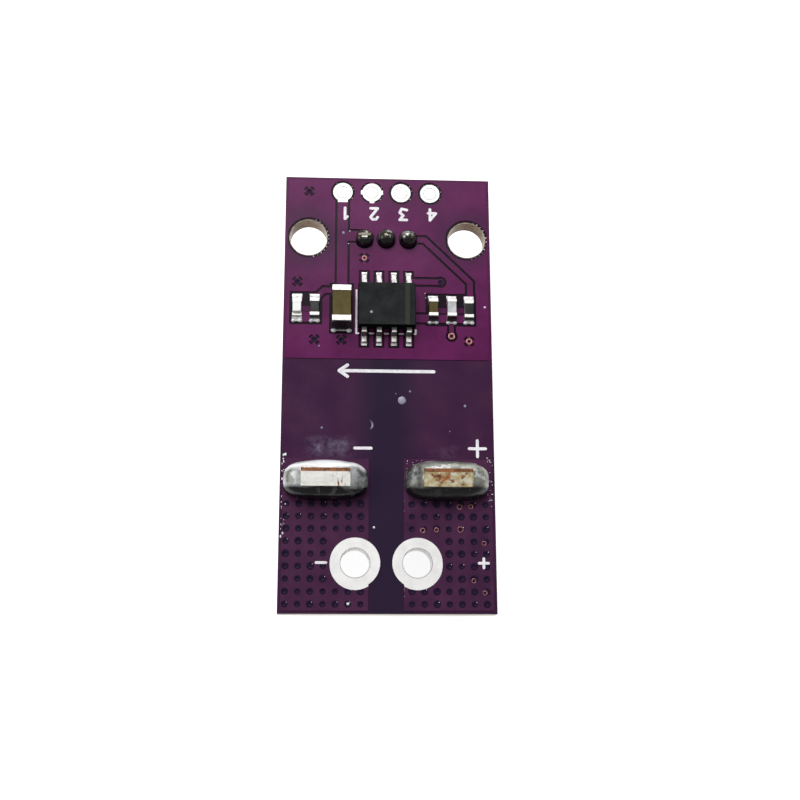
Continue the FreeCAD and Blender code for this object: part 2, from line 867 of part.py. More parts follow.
def flux_core():
    """A square core round the loop's end bar, open at the gap that holds the Hall chip."""
    body = new_body("flux_core")
    window_rear = f"({LOOP_SLOT_END} - core_clearance)"
    window_front = CHIP_REAR
    rear = f"({window_rear} - core_limb)"
    front = f"({window_front} + core_limb)"
    window_half = "(leg_thickness / 2 + core_clearance)"
    outer_half = f"({window_half} + core_limb)"
    gap_half = "(chip_thickness / 2)"
    upper = [
        (window_front, f"{LEAD_PLANE} + {gap_half}"),
        (front, f"{LEAD_PLANE} + {gap_half}"),
        (front, f"{LEAD_PLANE} + {outer_half}"),
        (rear, f"{LEAD_PLANE} + {outer_half}"),
    ]
    lower = [
        (rear, f"{LEAD_PLANE} - {outer_half}"),
        (front, f"{LEAD_PLANE} - {outer_half}"),
        (front, f"{LEAD_PLANE} - {gap_half}"),
        (window_front, f"{LEAD_PLANE} - {gap_half}"),
    ]
    window = [
        (window_front, f"{LEAD_PLANE} - {window_half}"),
        (window_rear, f"{LEAD_PLANE} - {window_half}"),
        (window_rear, f"{LEAD_PLANE} + {window_half}"),
        (window_front, f"{LEAD_PLANE} + {window_half}"),
    ]
    sketch = new_sketch(body, role="YZ_Plane")
    outline(sketch, upper + lower + window)
    pad(body, sketch, "core_width", both_ways=True)
    return placed(body, "layout_shift")


def hall_chip():
    return box(
        "hall_chip",
        "layout_shift - chip_width / 2",
        CHIP_REAR,
        f"{LEAD_PLANE} - chip_thickness / 2",
        "chip_width",
        "chip_length",
        "chip_thickness",
    )


def mould_plan(sketch):
    """The mould's plan at its parting line, with clipped corners."""
    clip = "mould_corner"
    points = [
        (f"{LEG_OUTER} - {clip}", MOULD_REAR),
        (LEG_OUTER, f"{MOULD_REAR} + {clip}"),
        (LEG_OUTER, f"{MOULD_STEP} - {clip}"),
        (f"{LEG_OUTER} - {clip}", MOULD_STEP),
    ]
    outline(sketch, points + [(f"-({x})", y) for x, y in reversed(points)])


def sensor_housing(inside):
    """The moulding, drafted both ways from its parting line and closed round what it holds."""
    body = new_body("housing_mould")
    for downwards in (False, True):
        sketch = new_sketch(body, LEAD_PLANE)
        mould_plan(sketch)
        pad(body, sketch, "sensor_height / 2", draft="-mould_draft", downwards=downwards)
    for downwards in (False, True):
        sketch = new_sketch(body, LEAD_PLANE)
        half = f"({LEG_OUTER} - sensor_nose_shoulder)"
        rectangle(sketch, f"-{half}", f"{MOULD_STEP} - mould_corner", half, MOULD_FRONT)
        pad(body, sketch, "sensor_nose_height / 2", draft="-mould_draft", downwards=downwards)
    sketch = new_sketch(body, "ejector_mark_depth")
    middle = f"({MOULD_REAR} + {MOULD_STEP}) / 2"
    for side in (-1, 1):
        circle(sketch, f"{side} * ({LEG_OUTER} - ejector_mark_inset)", middle, "ejector_mark_diameter")
    pocket(body, sketch, "ejector_mark_depth")
    placed(body, "layout_shift")
    return cut("sensor_housing", body, inside)


# Solder

def signal_solder(index, lead):
    """A dome on the land, the filled hole and a low foot round the lead."""
    body = new_body(f"signal_joint_{index + 1}")
    land = "signal_pad_diameter / 2"
    dome = f"({land} * {land} + signal_dome_height * signal_dome_height) / (2 * signal_dome_height)"
    section = [
        ("0", f"{UNDERSIDE} - copper_thickness - signal_foot_height"),
        ("signal_hole_diameter / 2", f"{UNDERSIDE} - copper_thickness - signal_foot_height"),
        (land, f"{UNDERSIDE} - copper_thickness"),
        (land, UNDERSIDE),
        ("signal_hole_diameter / 2", UNDERSIDE),
        ("signal_hole_diameter / 2", TOPSIDE),
        (land, TOPSIDE),
        (land, LANDS),
        ("0", f"{LANDS} + signal_dome_height"),
    ]
    sketch = new_sketch(body, role="XZ_Plane")
    outline(sketch, section, {7: dome})
    turn(body, sketch)
    placed(body, signal_place(index), SIGNAL_ROW)
    return cut(f"signal_solder_{index + 1}", body, [lead])


def terminal_solder(name, side, conductor):
    """A rounded mound on the pour, the filled slot and a low foot under the board."""
    body = new_body(name + "_joint")
    sketch = new_sketch(body, LANDS)
    length = f"{LEG_WIDTH} + 2 * mound_overhang"
    slot(sketch, side_place(side, LEG_SPACING), TERMINAL_ROW, length, "mound_width")
    mound = pad(body, sketch, "mound_height")
    doc.recompute()
    crest = value(f"{LANDS} + mound_height")
    names = [
        f"Edge{number}"
        for number, edge in enumerate(mound.Shape.Edges, start=1)
        if abs(edge.BoundBox.ZMin - crest) < 1e-6
    ]
    rounding = body.newObject("PartDesign::Fillet", body.Name + "_rounding")
    rounding.Base = (mound, names)
    rounding.setExpression("Radius", bound("mound_rounding"))
    body.Tip = rounding
    sketch = new_sketch(body, UNDERSIDE + " - copper_thickness")
    leg_slot(sketch, side)
    pad(body, sketch, "board_thickness + 2 * copper_thickness")
    sketch = new_sketch(body, UNDERSIDE + " - copper_thickness")
    leg_slot(sketch, side, "mound_foot_rim")
    pad(body, sketch, "mound_foot_rim", downwards=True)
    return cut(name, body, [conductor])


# Amplifier

def amp_lead(number):
    """A gull-wing lead. One to four stand on the header side, five to eight on the other."""
    body = new_body(f"amp_lead_{number}")
    thick = "amp_lead_thickness"
    root = "(amp_width / 2 - amp_lead_root)"
    shoulder = "(amp_width / 2 + amp_shoulder)"
    heel = "(amp_lead_span / 2 - amp_foot_length)"
    toe = "(amp_lead_span / 2)"
    rise = "(amp_standoff + amp_height / 2)"
    mitre = f"({thick} / 2)"
    points = [
        (root, f"{rise} - {thick} / 2"),
        (f"{shoulder} - {mitre}", f"{rise} - {thick} / 2"),
        (f"{heel} - {mitre}", "0"),
        (toe, "0"),
        (toe, thick),
        (f"{heel} + {mitre}", thick),
        (f"{shoulder} + {mitre}", f"{rise} + {thick} / 2"),
        (root, f"{rise} + {thick} / 2"),
    ]
    sketch = new_sketch(body, role="YZ_Plane")
    outline(sketch, points)
    pad(body, sketch, "amp_lead_width", both_ways=True)
    index = (number - 1) % 4
    if number > 4:
        body.Placement.Rotation = FreeCAD.Rotation(FreeCAD.Vector(0, 0, 1), 180)
    return placed(body, amp_pin_place(index), PARTS_ROW, LANDS)


def amp_body(leads):
    """The amplifier's moulding, drafted both ways from the plane of its leads."""
    body = new_body("amp_mould")
    for downwards in (False, True):
        sketch = new_sketch(body, f"{LANDS} + amp_standoff + amp_height / 2")
        block(sketch, "layout_shift", PARTS_ROW, "amp_length", "amp_width")
        pad(body, sketch, "amp_height / 2", draft="-amp_draft", downwards=downwards)
    return cut("amp_body", body, leads)


def wedge(name, centre, front, width, reach, climb, side):
    """A solder fillet that falls away from the end it climbs."""
    fillet = doc.addObject("Part::Wedge", name)
    sizes = {
        "Xmin": f"-({width}) / 2",
        "Xmax": f"({width}) / 2",
        "X2min": f"-({width}) / 2",
        "X2max": f"({width}) / 2",
        "Ymin": "0",
        "Ymax": reach,
        "Zmin": "0",
        "Zmax": climb,
        "Z2min": "0",
        "Z2max": "solder_toe",
    }
    for path, text in sizes.items():
        fillet.setExpression(path, bound(text))
    if side < 0:
        fillet.Placement.Rotation = FreeCAD.Rotation(FreeCAD.Vector(0, 0, 1), 180)
    return placed(fillet, centre, front, LANDS)


def amp_solder():
    toes = [
        wedge(
            f"amp_toe_{index}_{side}",
            amp_pin_place(index),
            f"{PARTS_ROW} + {side} * amp_lead_span / 2",
            "amp_lead_width",
            "amp_pad_toe",
            "amp_lead_thickness",
            side,
        )
        for index in range(4)
        for side in (-1, 1)
    ]
    return group("amp_solder", toes)


# Chip parts

def chip_core(name, node, low, height, length):
    """The ceramic of a chip part, inside its caps by one plating wall."""
    _, width, _ = chip_sizes(name)
    centre = CHIP_PLACES[name]
    return box(
        node,
        f"{centre} - {width} / 2 + cap_wall",
        f"{PARTS_ROW} - ({length}) / 2",
        low,
        f"{width} - 2 * cap_wall",
        length,
        height,
    )


def end_caps(name, core, height):
    """The two plated ends of a chip part."""
    length, width, band = chip_sizes(name)
    centre = CHIP_PLACES[name]
    ends = []
    for side in (-1, 1):
        middle = f"({PARTS_ROW} + {side} * ({length} - {band}) / 2)"
        end = box(
            f"{name}_end_{side}",
            f"{centre} - {width} / 2",
            f"{middle} - {band} / 2",
            LANDS,
            width,
            band,
            height,
        )
        rounded = doc.addObject("Part::Chamfer", f"{name}_cap_{side}")
        rounded.Base = end
        doc.recompute()
        chamfer = value("cap_chamfer")
        rounded.Edges = [(number, chamfer, chamfer) for number in outer_edges(end, middle, side)]
        ends.append(rounded)
    return cut(f"{name}_end_caps", group(f"{name}_ends", ends), [core])


def outer_edges(end, middle, side):
    """The edges of an end that lie outside its middle, and above the land."""
    for number, edge in enumerate(end.Shape.Edges, start=1):
        place = edge.CenterOfMass
        if (place.y - value(middle)) * side > 1e-6 and place.z > value(LANDS) + 1e-6:
            yield number


def capacitor(name, height):
    length, _, _ = chip_sizes(name)
    low = f"{LANDS} + cap_wall"
    core = chip_core(name, f"{name}_body", low, f"{height} - 2 * cap_wall", f"{length} - 2 * cap_wall")
    return [core, end_caps(name, core, height)]


def resistor(name):
    """A substrate with a dark overcoat between its caps."""
    length, _, band = chip_sizes(name)
    low = f"{LANDS} + cap_wall"
    rise = "resistor_height - 2 * cap_wall"
    core = chip_core(name, f"{name}_substrate", low, rise, f"{length} - 2 * cap_wall")
    top = f"{LANDS} + resistor_height - cap_wall"
    coat = chip_core(name, f"{name}_overcoat", top, "overcoat_height", f"{length} - 2 * {band}")
    return [core, coat, end_caps(name, core, "resistor_height")]


def lamp():
    """A flat base with a clear lens between its caps."""
    low = f"{LANDS} + cap_wall"
    rise = "lamp_base_height - 2 * cap_wall"
    base = chip_core("lamp", "lamp_base", low, rise, "small_chip_length - 2 * cap_wall")
    top = f"{LANDS} + lamp_base_height - cap_wall"
    height = "lamp_height - lamp_base_height + cap_wall"
    lens = chip_core("lamp", "lamp_lens", top, height, "small_chip_length - 2 * small_cap_band")
    return [base, lens, end_caps("lamp", base, "lamp_base_height")]


def chip_solder():
    heights = {
        "large_capacitor": "large_chip_height",
        "small_capacitor": "capacitor_height",
        "pale_capacitor": "capacitor_height",
        "output_resistor": "resistor_height",
        "lamp_resistor": "resistor_height",
        "lamp": "lamp_base_height",
    }
    fillets = []
    for name, height in heights.items():
        length, width, _ = chip_sizes(name)
        for side in (-1, 1):
            fillets.append(
                wedge(
                    f"{name}_fillet_{side}",
                    CHIP_PLACES[name],
                    f"{PARTS_ROW} + {side} * {length} / 2",
                    width,
                    "solder_reach",
                    f"solder_climb * {height}",
                    side,
                )
            )
    return group("chip_solder", fillets)


# Assembly

def build():
    nodes = [laminate(), front_tracks()]
    nodes.append(ground_plane("front_ground_plane", TOPSIDE, front_routes(), land_windows))
    nodes.append(ground_plane("back_ground_plane", "sensor_height", back_routes()))
    nodes.append(back_tracks())
    conductor = primary_conductor()
    nodes.append(conductor)
    for name, side in SIDES.items():
        nodes.append(power_pour(f"{name}_front_pour", side, TOPSIDE, list(via_field(side))))
        nodes.append(power_pour(f"{name}_back_pour", side, "sensor_height"))
        ring_x = side_place(side, "ring_spacing")
        nodes.append(plated_hole(f"{name}_ring", ring_x, RING_ROW, "ring_hole_diameter", "ring_diameter"))
        nodes.append(terminal_solder(f"{name}_terminal_solder", side, conductor))
    for index in range(4):
        pad_x = header_place(index)
        name = f"header_pad_{index + 1}"
        nodes.append(plated_hole(name, pad_x, HEADER_ROW, "header_hole_diameter", "header_pad_diameter"))
    leads = [signal_lead(index) for index in range(3)]
    nodes += leads
    nodes += [signal_solder(index, lead) for index, lead in enumerate(leads)]
    core = flux_core()
    chip = hall_chip()
    nodes += [core, chip, sensor_housing([conductor, core, chip] + leads)]
    amp_leads = [amp_lead(number) for number in range(1, 9)]
    nodes += amp_leads
    nodes += [amp_body(amp_leads), amp_solder()]
    nodes += capacitor("large_capacitor", "large_chip_height")
    nodes += capacitor("small_capacitor", "capacitor_height")
    nodes += capacitor("pale_capacitor", "capacitor_height")
    nodes += resistor("output_resistor") + resistor("lamp_resistor")
    nodes += lamp()
    nodes.append(chip_solder())
    return nodes


def check(nodes):
    """Stops at any failed feature or broken shape before a file is written."""
    for item in doc.Objects:
        if "Invalid" in item.State or "Error" in item.State:
            raise RuntimeError(f"{item.Label} failed: {item.State}")
    for node in nodes:
        if node.Shape.isNull() or not node.Shape.isValid():
            raise RuntimeError(f"{node.Label} has no valid shape")


parts = build()
doc.recompute()
check(parts)
os.makedirs("parts", exist_ok=True)
for part in parts:
    part.Shape.exportStep(f"parts/{part.Label}.step")
print(len(parts), "parts written")
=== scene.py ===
import math
import random

import bmesh
import bpy
from mathutils import Matrix, Vector, noise


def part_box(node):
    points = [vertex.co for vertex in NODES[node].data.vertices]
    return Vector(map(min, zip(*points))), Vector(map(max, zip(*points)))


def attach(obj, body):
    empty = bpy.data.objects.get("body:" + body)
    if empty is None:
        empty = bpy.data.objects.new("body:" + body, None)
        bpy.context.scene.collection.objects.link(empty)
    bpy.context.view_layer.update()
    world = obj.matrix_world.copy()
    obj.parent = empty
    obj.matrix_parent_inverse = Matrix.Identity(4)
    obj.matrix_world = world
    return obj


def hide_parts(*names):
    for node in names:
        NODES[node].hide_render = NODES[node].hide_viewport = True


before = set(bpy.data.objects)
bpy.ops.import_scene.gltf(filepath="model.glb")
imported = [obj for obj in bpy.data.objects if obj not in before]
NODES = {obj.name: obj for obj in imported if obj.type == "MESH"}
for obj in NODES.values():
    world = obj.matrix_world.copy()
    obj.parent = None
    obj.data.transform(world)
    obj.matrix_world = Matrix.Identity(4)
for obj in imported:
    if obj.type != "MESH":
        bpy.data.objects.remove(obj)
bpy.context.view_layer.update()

# Hall effect current sensor board, dressed for a studio photograph. Metres, in the frame of the CAD.

MM = 0.001


def middle(name):
    """The centre of a node's box."""
    low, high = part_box(name)
    return Vector([(a + b) / 2 for a, b in zip(low, high)])


def top(name):
    """The level of a node's upper side."""
    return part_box(name)[1][2]


def span(name, axis):
    """A node's size along one axis."""
    low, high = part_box(name)
    return high[axis] - low[axis]


MASK = top("laminate")
LANDS = top("front_ground_plane")
BOARD_LOW, BOARD_HIGH = (Vector(corner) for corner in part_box("laminate"))
PLANE_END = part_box("front_ground_plane")[0][1]
COPPER_MARGIN = BOARD_HIGH.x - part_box("front_ground_plane")[1][0]
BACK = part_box("negative_back_pour")[0][2]

MOUNT_X = 6.85 * MM
MOUNT_Y = 13.25 * MM

# Sizes and places in millimetres

HEADER_BORE = 0.51
RING_BORE = 1.2
MOUNT_BORE = 1.6
FAR = 100
LEG_ROW = middle("negative_terminal_solder").y / MM
AMP_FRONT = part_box("amp_body")[0][1] / MM

# The shaded band over the amplifier's front leads, as its start, its end and its soft edge
SHOULDER = (AMP_FRONT - 0.3, AMP_FRONT + 0.3, 0.06)

# Where flux has dried, as a reach along X and one along Y
HAZES = (((-7.4, -2.5), (-6.4, -4.1)), ((3.2, 7.0), (-6.3, -4.9)))

# Colours


def look(red, green, blue):
    """A colour for a shader, from how it looks on a screen in steps from 0 to 255."""
    parts = [value / 255 for value in (red, green, blue)]
    linear = [p / 12.92 if p <= 0.04045 else ((p + 0.055) / 1.055) ** 2.4 for p in parts]
    return (*linear, 1.0)


PURPLE = look(100, 34, 86)
PURPLE_DEEP = look(86, 28, 74)
PLUM = look(80, 45, 74)
PLUM_DEEP = look(67, 37, 64)
NAVY = look(60, 32, 62)
NAVY_WARM = look(72, 40, 68)
NAVY_DEEP = look(46, 34, 56)
CHANNEL = look(24, 13, 26)
FIBRE = look(204, 182, 158)
FIBRE_DARK = look(140, 104, 80)
TIN = look(230, 229, 224)
TIN_PALE = look(222, 220, 218)
TIN_DULL = look(168, 166, 160)
SOLDER = look(226, 228, 230)
SOLDER_DULL = look(122, 124, 118)
SOLDER_MURKY = look(164, 166, 156)
SOLDER_DARK = look(78, 74, 62)
LEAD_GREY = look(74, 74, 68)
SOLDER_BLACK = look(12, 10, 12)
SHADED_TIN = look(38, 35, 36)
BARREL_MOUTH = look(150, 150, 150)
COPPER = look(150, 92, 52)
COPPER_DARK = look(74, 44, 26)
BRASSY = look(158, 140, 88)
LEG_PALE = look(206, 204, 186)
LEG_TIN = look(219, 218, 211)
LEG_TIN_DULL = look(206, 205, 200)
SHEARED_LEAD = look(92, 86, 70)
SHEARED_TIN = look(128, 120, 102)
SOLDER_WHITE_AND_HIGHLIGHT = look(250, 250, 252)
CRUMB_AND_GLINT_GREY = look(206, 206, 212)
PAD_WHITE = look(250, 249, 248)
PAD_PALE = look(238, 237, 236)
STEEL = look(176, 178, 180)
CHARCOAL = look(36, 36, 37)
CHARCOAL_PALE = look(58, 61, 56)
AMP_GREY = look(48, 49, 50)
AMP_GREY_DEEP = look(37, 38, 39)
AMP_SHADE = look(18, 17, 18)
PAINTED_LIT_FIBRE = look(238, 230, 206)
PAINTED_LIT_FIBRE_TAN = look(206, 192, 164)
EPOXY = look(26, 26, 28)
CERAMIC = look(99, 88, 52)
CERAMIC_DARK = look(82, 71, 40)
CERAMIC_PALE = look(206, 208, 212)
CERAMIC_GREY = look(178, 180, 184)
ALUMINA = look(226, 224, 216)
ALUMINA_DULL = look(206, 204, 196)
COAT = look(16, 15, 16)
LENS = look(252, 253, 250)
LAMP_WHITE = look(250, 250, 247)
LAMP_DULL = look(206, 206, 200)
INK = look(250, 248, 252)
INK_DULL = look(226, 224, 230)
RESIN = look(150, 146, 168)
RESIN_DARK = look(104, 100, 122)
RUST = look(150, 72, 72)
RUST_PALE = look(196, 142, 136)
DISH = look(40, 25, 52)
DISH_DARK = look(28, 17, 40)
RIM_BROWN = look(110, 80, 84)


# Shader building blocks

FLOAT = "NodeSocketFloat"
COLOUR = "NodeSocketColor"
WHITE = (1.0, 1.0, 1.0, 1.0)


def place(tree, kind, **values):
    """A node with its own settings, and its sockets set by name."""
    made = tree.nodes.new(kind)
    for key, value in values.items():
        if hasattr(made, key):
            setattr(made, key, value)
        else:
            made.inputs[key.replace("_", " ").title()].default_value = value
    return made


def joined(tree, value, socket):
    """Feeds a socket with an output, or sets it to a plain value."""
    if isinstance(value, bpy.types.NodeSocket):
        tree.links.new(value, socket)
    else:
        socket.default_value = value


def combined(tree, operation, first, second, clamp=True):
    """One sum over two values, kept within 0 and 1 unless told otherwise."""
    made = place(tree, "ShaderNodeMath", operation=operation, use_clamp=clamp)
    joined(tree, first, made.inputs[0])
    joined(tree, second, made.inputs[1])
    return made.outputs["Value"]


def product(tree, first, *others):
    """Masks and shares multiplied together."""
    for other in others:
        first = combined(tree, "MULTIPLY", first, other)
    return first


def greatest(tree, first, second):
    return combined(tree, "MAXIMUM", first, second)


def inverted(tree, mask):
    return combined(tree, "SUBTRACT", 1.0, mask)


def blend_colours(tree, mask, first, second):
    """Mixes two colours, outputs or plain ones, by a mask."""
    mix = place(tree, "ShaderNodeMix", data_type="RGBA")
    colours = [socket for socket in mix.inputs if socket.type == "RGBA"]
    tree.links.new(mask, mix.inputs["Factor"])
    joined(tree, first, colours[0])
    joined(tree, second, colours[1])
    return next(socket for socket in mix.outputs if socket.type == "RGBA")


def ramped(tree, value, low, high):
    """Stretches a value from low..high to 0..1."""
    ramp = place(tree, "ShaderNodeMapRange", clamp=True)
    tree.links.new(value, ramp.inputs["Value"])
    ramp.inputs["From Min"].default_value = low
    ramp.inputs["From Max"].default_value = high
    return ramp.outputs["Result"]


def coordinates(tree):
    """The three Object coordinates, by axis."""
    coords = place(tree, "ShaderNodeTexCoord")
    split = place(tree, "ShaderNodeSeparateXYZ")
    tree.links.new(coords.outputs["Object"], split.inputs["Vector"])
    return split.outputs


def noise_field(tree, scale, detail=4.0, rough=0.6, stretch=(1, 1, 1)):
    """Noise over Object coordinates. Its scale is a number or an output."""
    coords = place(tree, "ShaderNodeTexCoord")
    mapping = place(tree, "ShaderNodeMapping")
    mapping.inputs["Scale"].default_value = stretch
    field = place(tree, "ShaderNodeTexNoise", Detail=detail, Roughness=rough)
    tree.links.new(coords.outputs["Object"], mapping.inputs["Vector"])
    tree.links.new(mapping.outputs["Vector"], field.inputs["Vector"])
    joined(tree, scale, field.inputs["Scale"])
    return field.outputs["Fac"]


# Effects that several finishes share, as node groups


def new_group(name, inputs, outputs):
    """An empty node group with named sockets, given as name: (kind, value) and name: kind."""
    tree = bpy.data.node_groups.new(name, "ShaderNodeTree")
    for label, (kind, value) in inputs.items():
        socket = tree.interface.new_socket(name=label, in_out="INPUT", socket_type=kind)
        socket.default_value = value
    for label, kind in outputs.items():
        tree.interface.new_socket(name=label, in_out="OUTPUT", socket_type=kind)
    source = tree.nodes.new("NodeGroupInput")
    result = tree.nodes.new("NodeGroupOutput")
    return tree, source.outputs, result.inputs


def build_mottle(name="mottle", stretch=(1, 1, 1)):
    """Two colours in soft patches, flattened into layers where the stretch says so."""
    inputs = {"Main": (COLOUR, WHITE), "Patch": (COLOUR, WHITE), "Scale": (FLOAT, 500.0)}
    tree, given, result = new_group(name, inputs, {"Colour": COLOUR, "Mask": FLOAT})
    mask = ramped(tree, noise_field(tree, given["Scale"], stretch=stretch), 0.38, 0.66)
    tree.links.new(blend_colours(tree, mask, given["Main"], given["Patch"]), result["Colour"])
    tree.links.new(mask, result["Mask"])
    return tree


def build_grain():
    """Fine surface grain as a height, with a coarser wave under it."""
    inputs = {"Scale": (FLOAT, 9000.0), "Wave Scale": (FLOAT, 900.0)}
    tree, given, result = new_group("grain", inputs, {"Height": FLOAT})
    add = place(tree, "ShaderNodeMath", operation="MULTIPLY_ADD")
    tree.links.new(noise_field(tree, given["Scale"], 3.0), add.inputs[0])
    add.inputs[1].default_value = 0.35
    tree.links.new(noise_field(tree, given["Wave Scale"], 2.0), add.inputs[2])
    tree.links.new(add.outputs["Value"], result["Height"])
    return tree


def build_specks():
    """Sparse pale specks of dust or fibre over a colour."""
    inputs = {
        "Base": (COLOUR, WHITE),
        "Speck": (COLOUR, WHITE),
        "Scale": (FLOAT, 700.0),
        "Size": (FLOAT, 0.08),
    }
    tree, given, result = new_group("specks", inputs, {"Colour": COLOUR, "Mask": FLOAT})
    coords = place(tree, "ShaderNodeTexCoord")
    cells = place(tree, "ShaderNodeTexVoronoi")
    tree.links.new(coords.outputs["Object"], cells.inputs["Vector"])
    tree.links.new(given["Scale"], cells.inputs["Scale"])
    near = combined(tree, "LESS_THAN", cells.outputs["Distance"], given["Size"])
    split = place(tree, "ShaderNodeSeparateColor")
    tree.links.new(cells.outputs["Color"], split.inputs["Color"])
    few = combined(tree, "GREATER_THAN", split.outputs["Red"], 0.8)
    mask = product(tree, near, few)
    tree.links.new(blend_colours(tree, mask, given["Base"], given["Speck"]), result["Colour"])
    tree.links.new(mask, result["Mask"])
    return tree


def build_sheen_map():
    """Uneven roughness between two values."""
    inputs = {"Smooth": (FLOAT, 0.2), "Rough": (FLOAT, 0.4), "Scale": (FLOAT, 800.0)}
    tree, given, result = new_group("uneven_gloss", inputs, {"Roughness": FLOAT})
    mix = place(tree, "ShaderNodeMix")
    mask = ramped(tree, noise_field(tree, given["Scale"], 5.0), 0.3, 0.7)
    tree.links.new(mask, mix.inputs["Factor"])
    tree.links.new(given["Smooth"], mix.inputs["A"])
    tree.links.new(given["Rough"], mix.inputs["B"])
    tree.links.new(mix.outputs["Result"], result["Roughness"])
    return tree


def build_band():
    """A mask that is 1 where Object coordinates lie within a band of one axis."""
    inputs = {"From": (FLOAT, 0.0), "To": (FLOAT, 1.0), "Soft": (FLOAT, 0.0001), "Axis": (FLOAT, 1.0)}
    tree, given, result = new_group("band", inputs, {"Mask": FLOAT})
    here = coordinates(tree)
    pick = place(tree, "ShaderNodeMix")
    tree.links.new(given["Axis"], pick.inputs["Factor"])
    tree.links.new(here["X"], pick.inputs["A"])
    tree.links.new(here["Y"], pick.inputs["B"])
    along = pick.outputs["Result"]
    steps = []
    for first, second in ((along, given["From"]), (given["To"], along)):
        gap = combined(tree, "SUBTRACT", first, second, clamp=False)
        steps.append(combined(tree, "DIVIDE", gap, given["Soft"]))
    tree.links.new(product(tree, *steps), result["Mask"])
    return tree


def build_round():
    """A mask that is 1 inside a circle and fades out past its edge."""
    inputs = {"X": (FLOAT, 0.0), "Y": (FLOAT, 0.0), "Radius": (FLOAT, 0.001), "Soft": (FLOAT, 0.001)}
    tree, given, result = new_group("round_shade", inputs, {"Mask": FLOAT})
    here = coordinates(tree)
    flat = place(tree, "ShaderNodeCombineXYZ")
    centre = place(tree, "ShaderNodeCombineXYZ")
    for axis in "XY":
        tree.links.new(here[axis], flat.inputs[axis])
        tree.links.new(given[axis], centre.inputs[axis])
    apart = place(tree, "ShaderNodeVectorMath", operation="DISTANCE")
    tree.links.new(flat.outputs["Vector"], apart.inputs[0])
    tree.links.new(centre.outputs["Vector"], apart.inputs[1])
    past = combined(tree, "SUBTRACT", apart.outputs["Value"], given["Radius"], clamp=False)
    tree.links.new(inverted(tree, combined(tree, "DIVIDE", past, given["Soft"])), result["Mask"])
    return tree


MOTTLE = build_mottle()
WEAVE = build_mottle("weave", (1, 1, 4))
GRAIN = build_grain()
SPECKS = build_specks()
GLOSS = build_sheen_map()
BAND = build_band()
ROUND = build_round()


def grouped(tree, group, **values):
    """A group node with its inputs set, or joined where an output is given."""
    made = tree.nodes.new("ShaderNodeGroup")
    made.node_tree = group
    for key, value in values.items():
        joined(tree, value, made.inputs[key.replace("_", " ").title()])
    return made


def mottled(tree, main, patch, scale, group=MOTTLE):
    """Two colours in soft patches."""
    return grouped(tree, group, Main=main, Patch=patch, Scale=scale).outputs["Colour"]


def patches(tree, scale):
    """The mask of such patches, by itself."""
    return grouped(tree, MOTTLE, Scale=scale).outputs["Mask"]


def banded(tree, axis, start, end, soft):
    """A mask over a band across the board, in millimetres along X or Y."""
    band = grouped(tree, BAND, Axis=float("XY".index(axis)), Soft=soft * MM)
    band.inputs["From"].default_value = start * MM
    band.inputs["To"].default_value = end * MM
    return band.outputs["Mask"]


def above(tree, level, soft):
    """A mask that grows from a level upwards."""
    return ramped(tree, coordinates(tree)["Z"], level, level + soft)


def facing(tree, axis, start, full):
    """A mask that grows as the surface turns along an axis, from start to full."""
    geometry = place(tree, "ShaderNodeNewGeometry")
    split = place(tree, "ShaderNodeSeparateXYZ")
    tree.links.new(geometry.outputs["Normal"], split.inputs["Vector"])
    return ramped(tree, split.outputs[axis], start, full)


def side_mask(tree):
    """1 on the walls of the board and its holes, 0 on its two faces."""
    faces = combined(tree, "ADD", facing(tree, "Z", 0.4, 0.5), facing(tree, "Z", -0.4, -0.5))
    return inverted(tree, faces)


# Finishes


def new_material(name, metallic=0.0, specular=0.5):
    material = bpy.data.materials.new(name)
    material.use_nodes = True
    shader = material.node_tree.nodes["Principled BSDF"]
    shader.inputs["Metallic"].default_value = metallic
    shader.inputs["Specular IOR Level"].default_value = specular
    return material, material.node_tree, shader


def bumped(tree, shader, strength, depth=0.02, scale=9000.0, wave=900.0):
    """Gives a shader fine relief, with its depth in millimetres."""
    grain = grouped(tree, GRAIN, Scale=scale, Wave_Scale=wave)
    bump = place(tree, "ShaderNodeBump", Strength=strength, Distance=depth * MM)
    tree.links.new(grain.outputs["Height"], bump.inputs["Height"])
    tree.links.new(bump.outputs["Normal"], shader.inputs["Normal"])


def glossed(tree, shader, smooth, rough, scale=800.0):
    """Gives a shader uneven gloss."""
    gloss = grouped(tree, GLOSS, Smooth=smooth, Rough=rough, Scale=scale)
    tree.links.new(gloss.outputs["Roughness"], shader.inputs["Roughness"])


def finish(name, main, patch, scale, smooth, rough, relief, metallic=0.0, specular=0.5):
    """A finish of two mottled colours with uneven gloss and fine relief."""
    material, tree, shader = new_material(name, metallic, specular)
    tree.links.new(mottled(tree, main, patch, scale), shader.inputs["Base Color"])
    glossed(tree, shader, smooth, rough)
    bumped(tree, shader, relief)
    return material


def masked(tree, shader, colour):
    """Gives a shader the gloss and fine ripple of solder mask, and a colour a little dust."""
    specks = grouped(tree, SPECKS, Base=colour, Speck=RESIN, Scale=620.0, Size=0.03)
    glossed(tree, shader, 0.16, 0.28, 300.0)
    bumped(tree, shader, 0.12, scale=5200.0, wave=700.0)
    return specks.outputs["Colour"]


def copper_mask_finish():
    """Mask over copper, redder over the ground plane than over the two pours."""
    material, tree, shader = new_material("masked_copper", specular=0.05)
    plane = mottled(tree, PURPLE, PURPLE_DEEP, 260.0)
    pour = mottled(tree, PLUM, PLUM_DEEP, 420.0)
    colour = blend_colours(tree, banded(tree, "Y", PLANE_END / MM - 1, FAR, 0.1), pour, plane)
    for side in (-1, 1):
        shade = grouped(tree, ROUND, X=side * MOUNT_X, Y=MOUNT_Y, Radius=MOUNT_BORE * MM, Soft=1.9 * MM)
        colour = blend_colours(tree, product(tree, shade.outputs["Mask"], 0.5), colour, NAVY_DEEP)
    tree.links.new(masked(tree, shader, colour), shader.inputs["Base Color"])
    return material


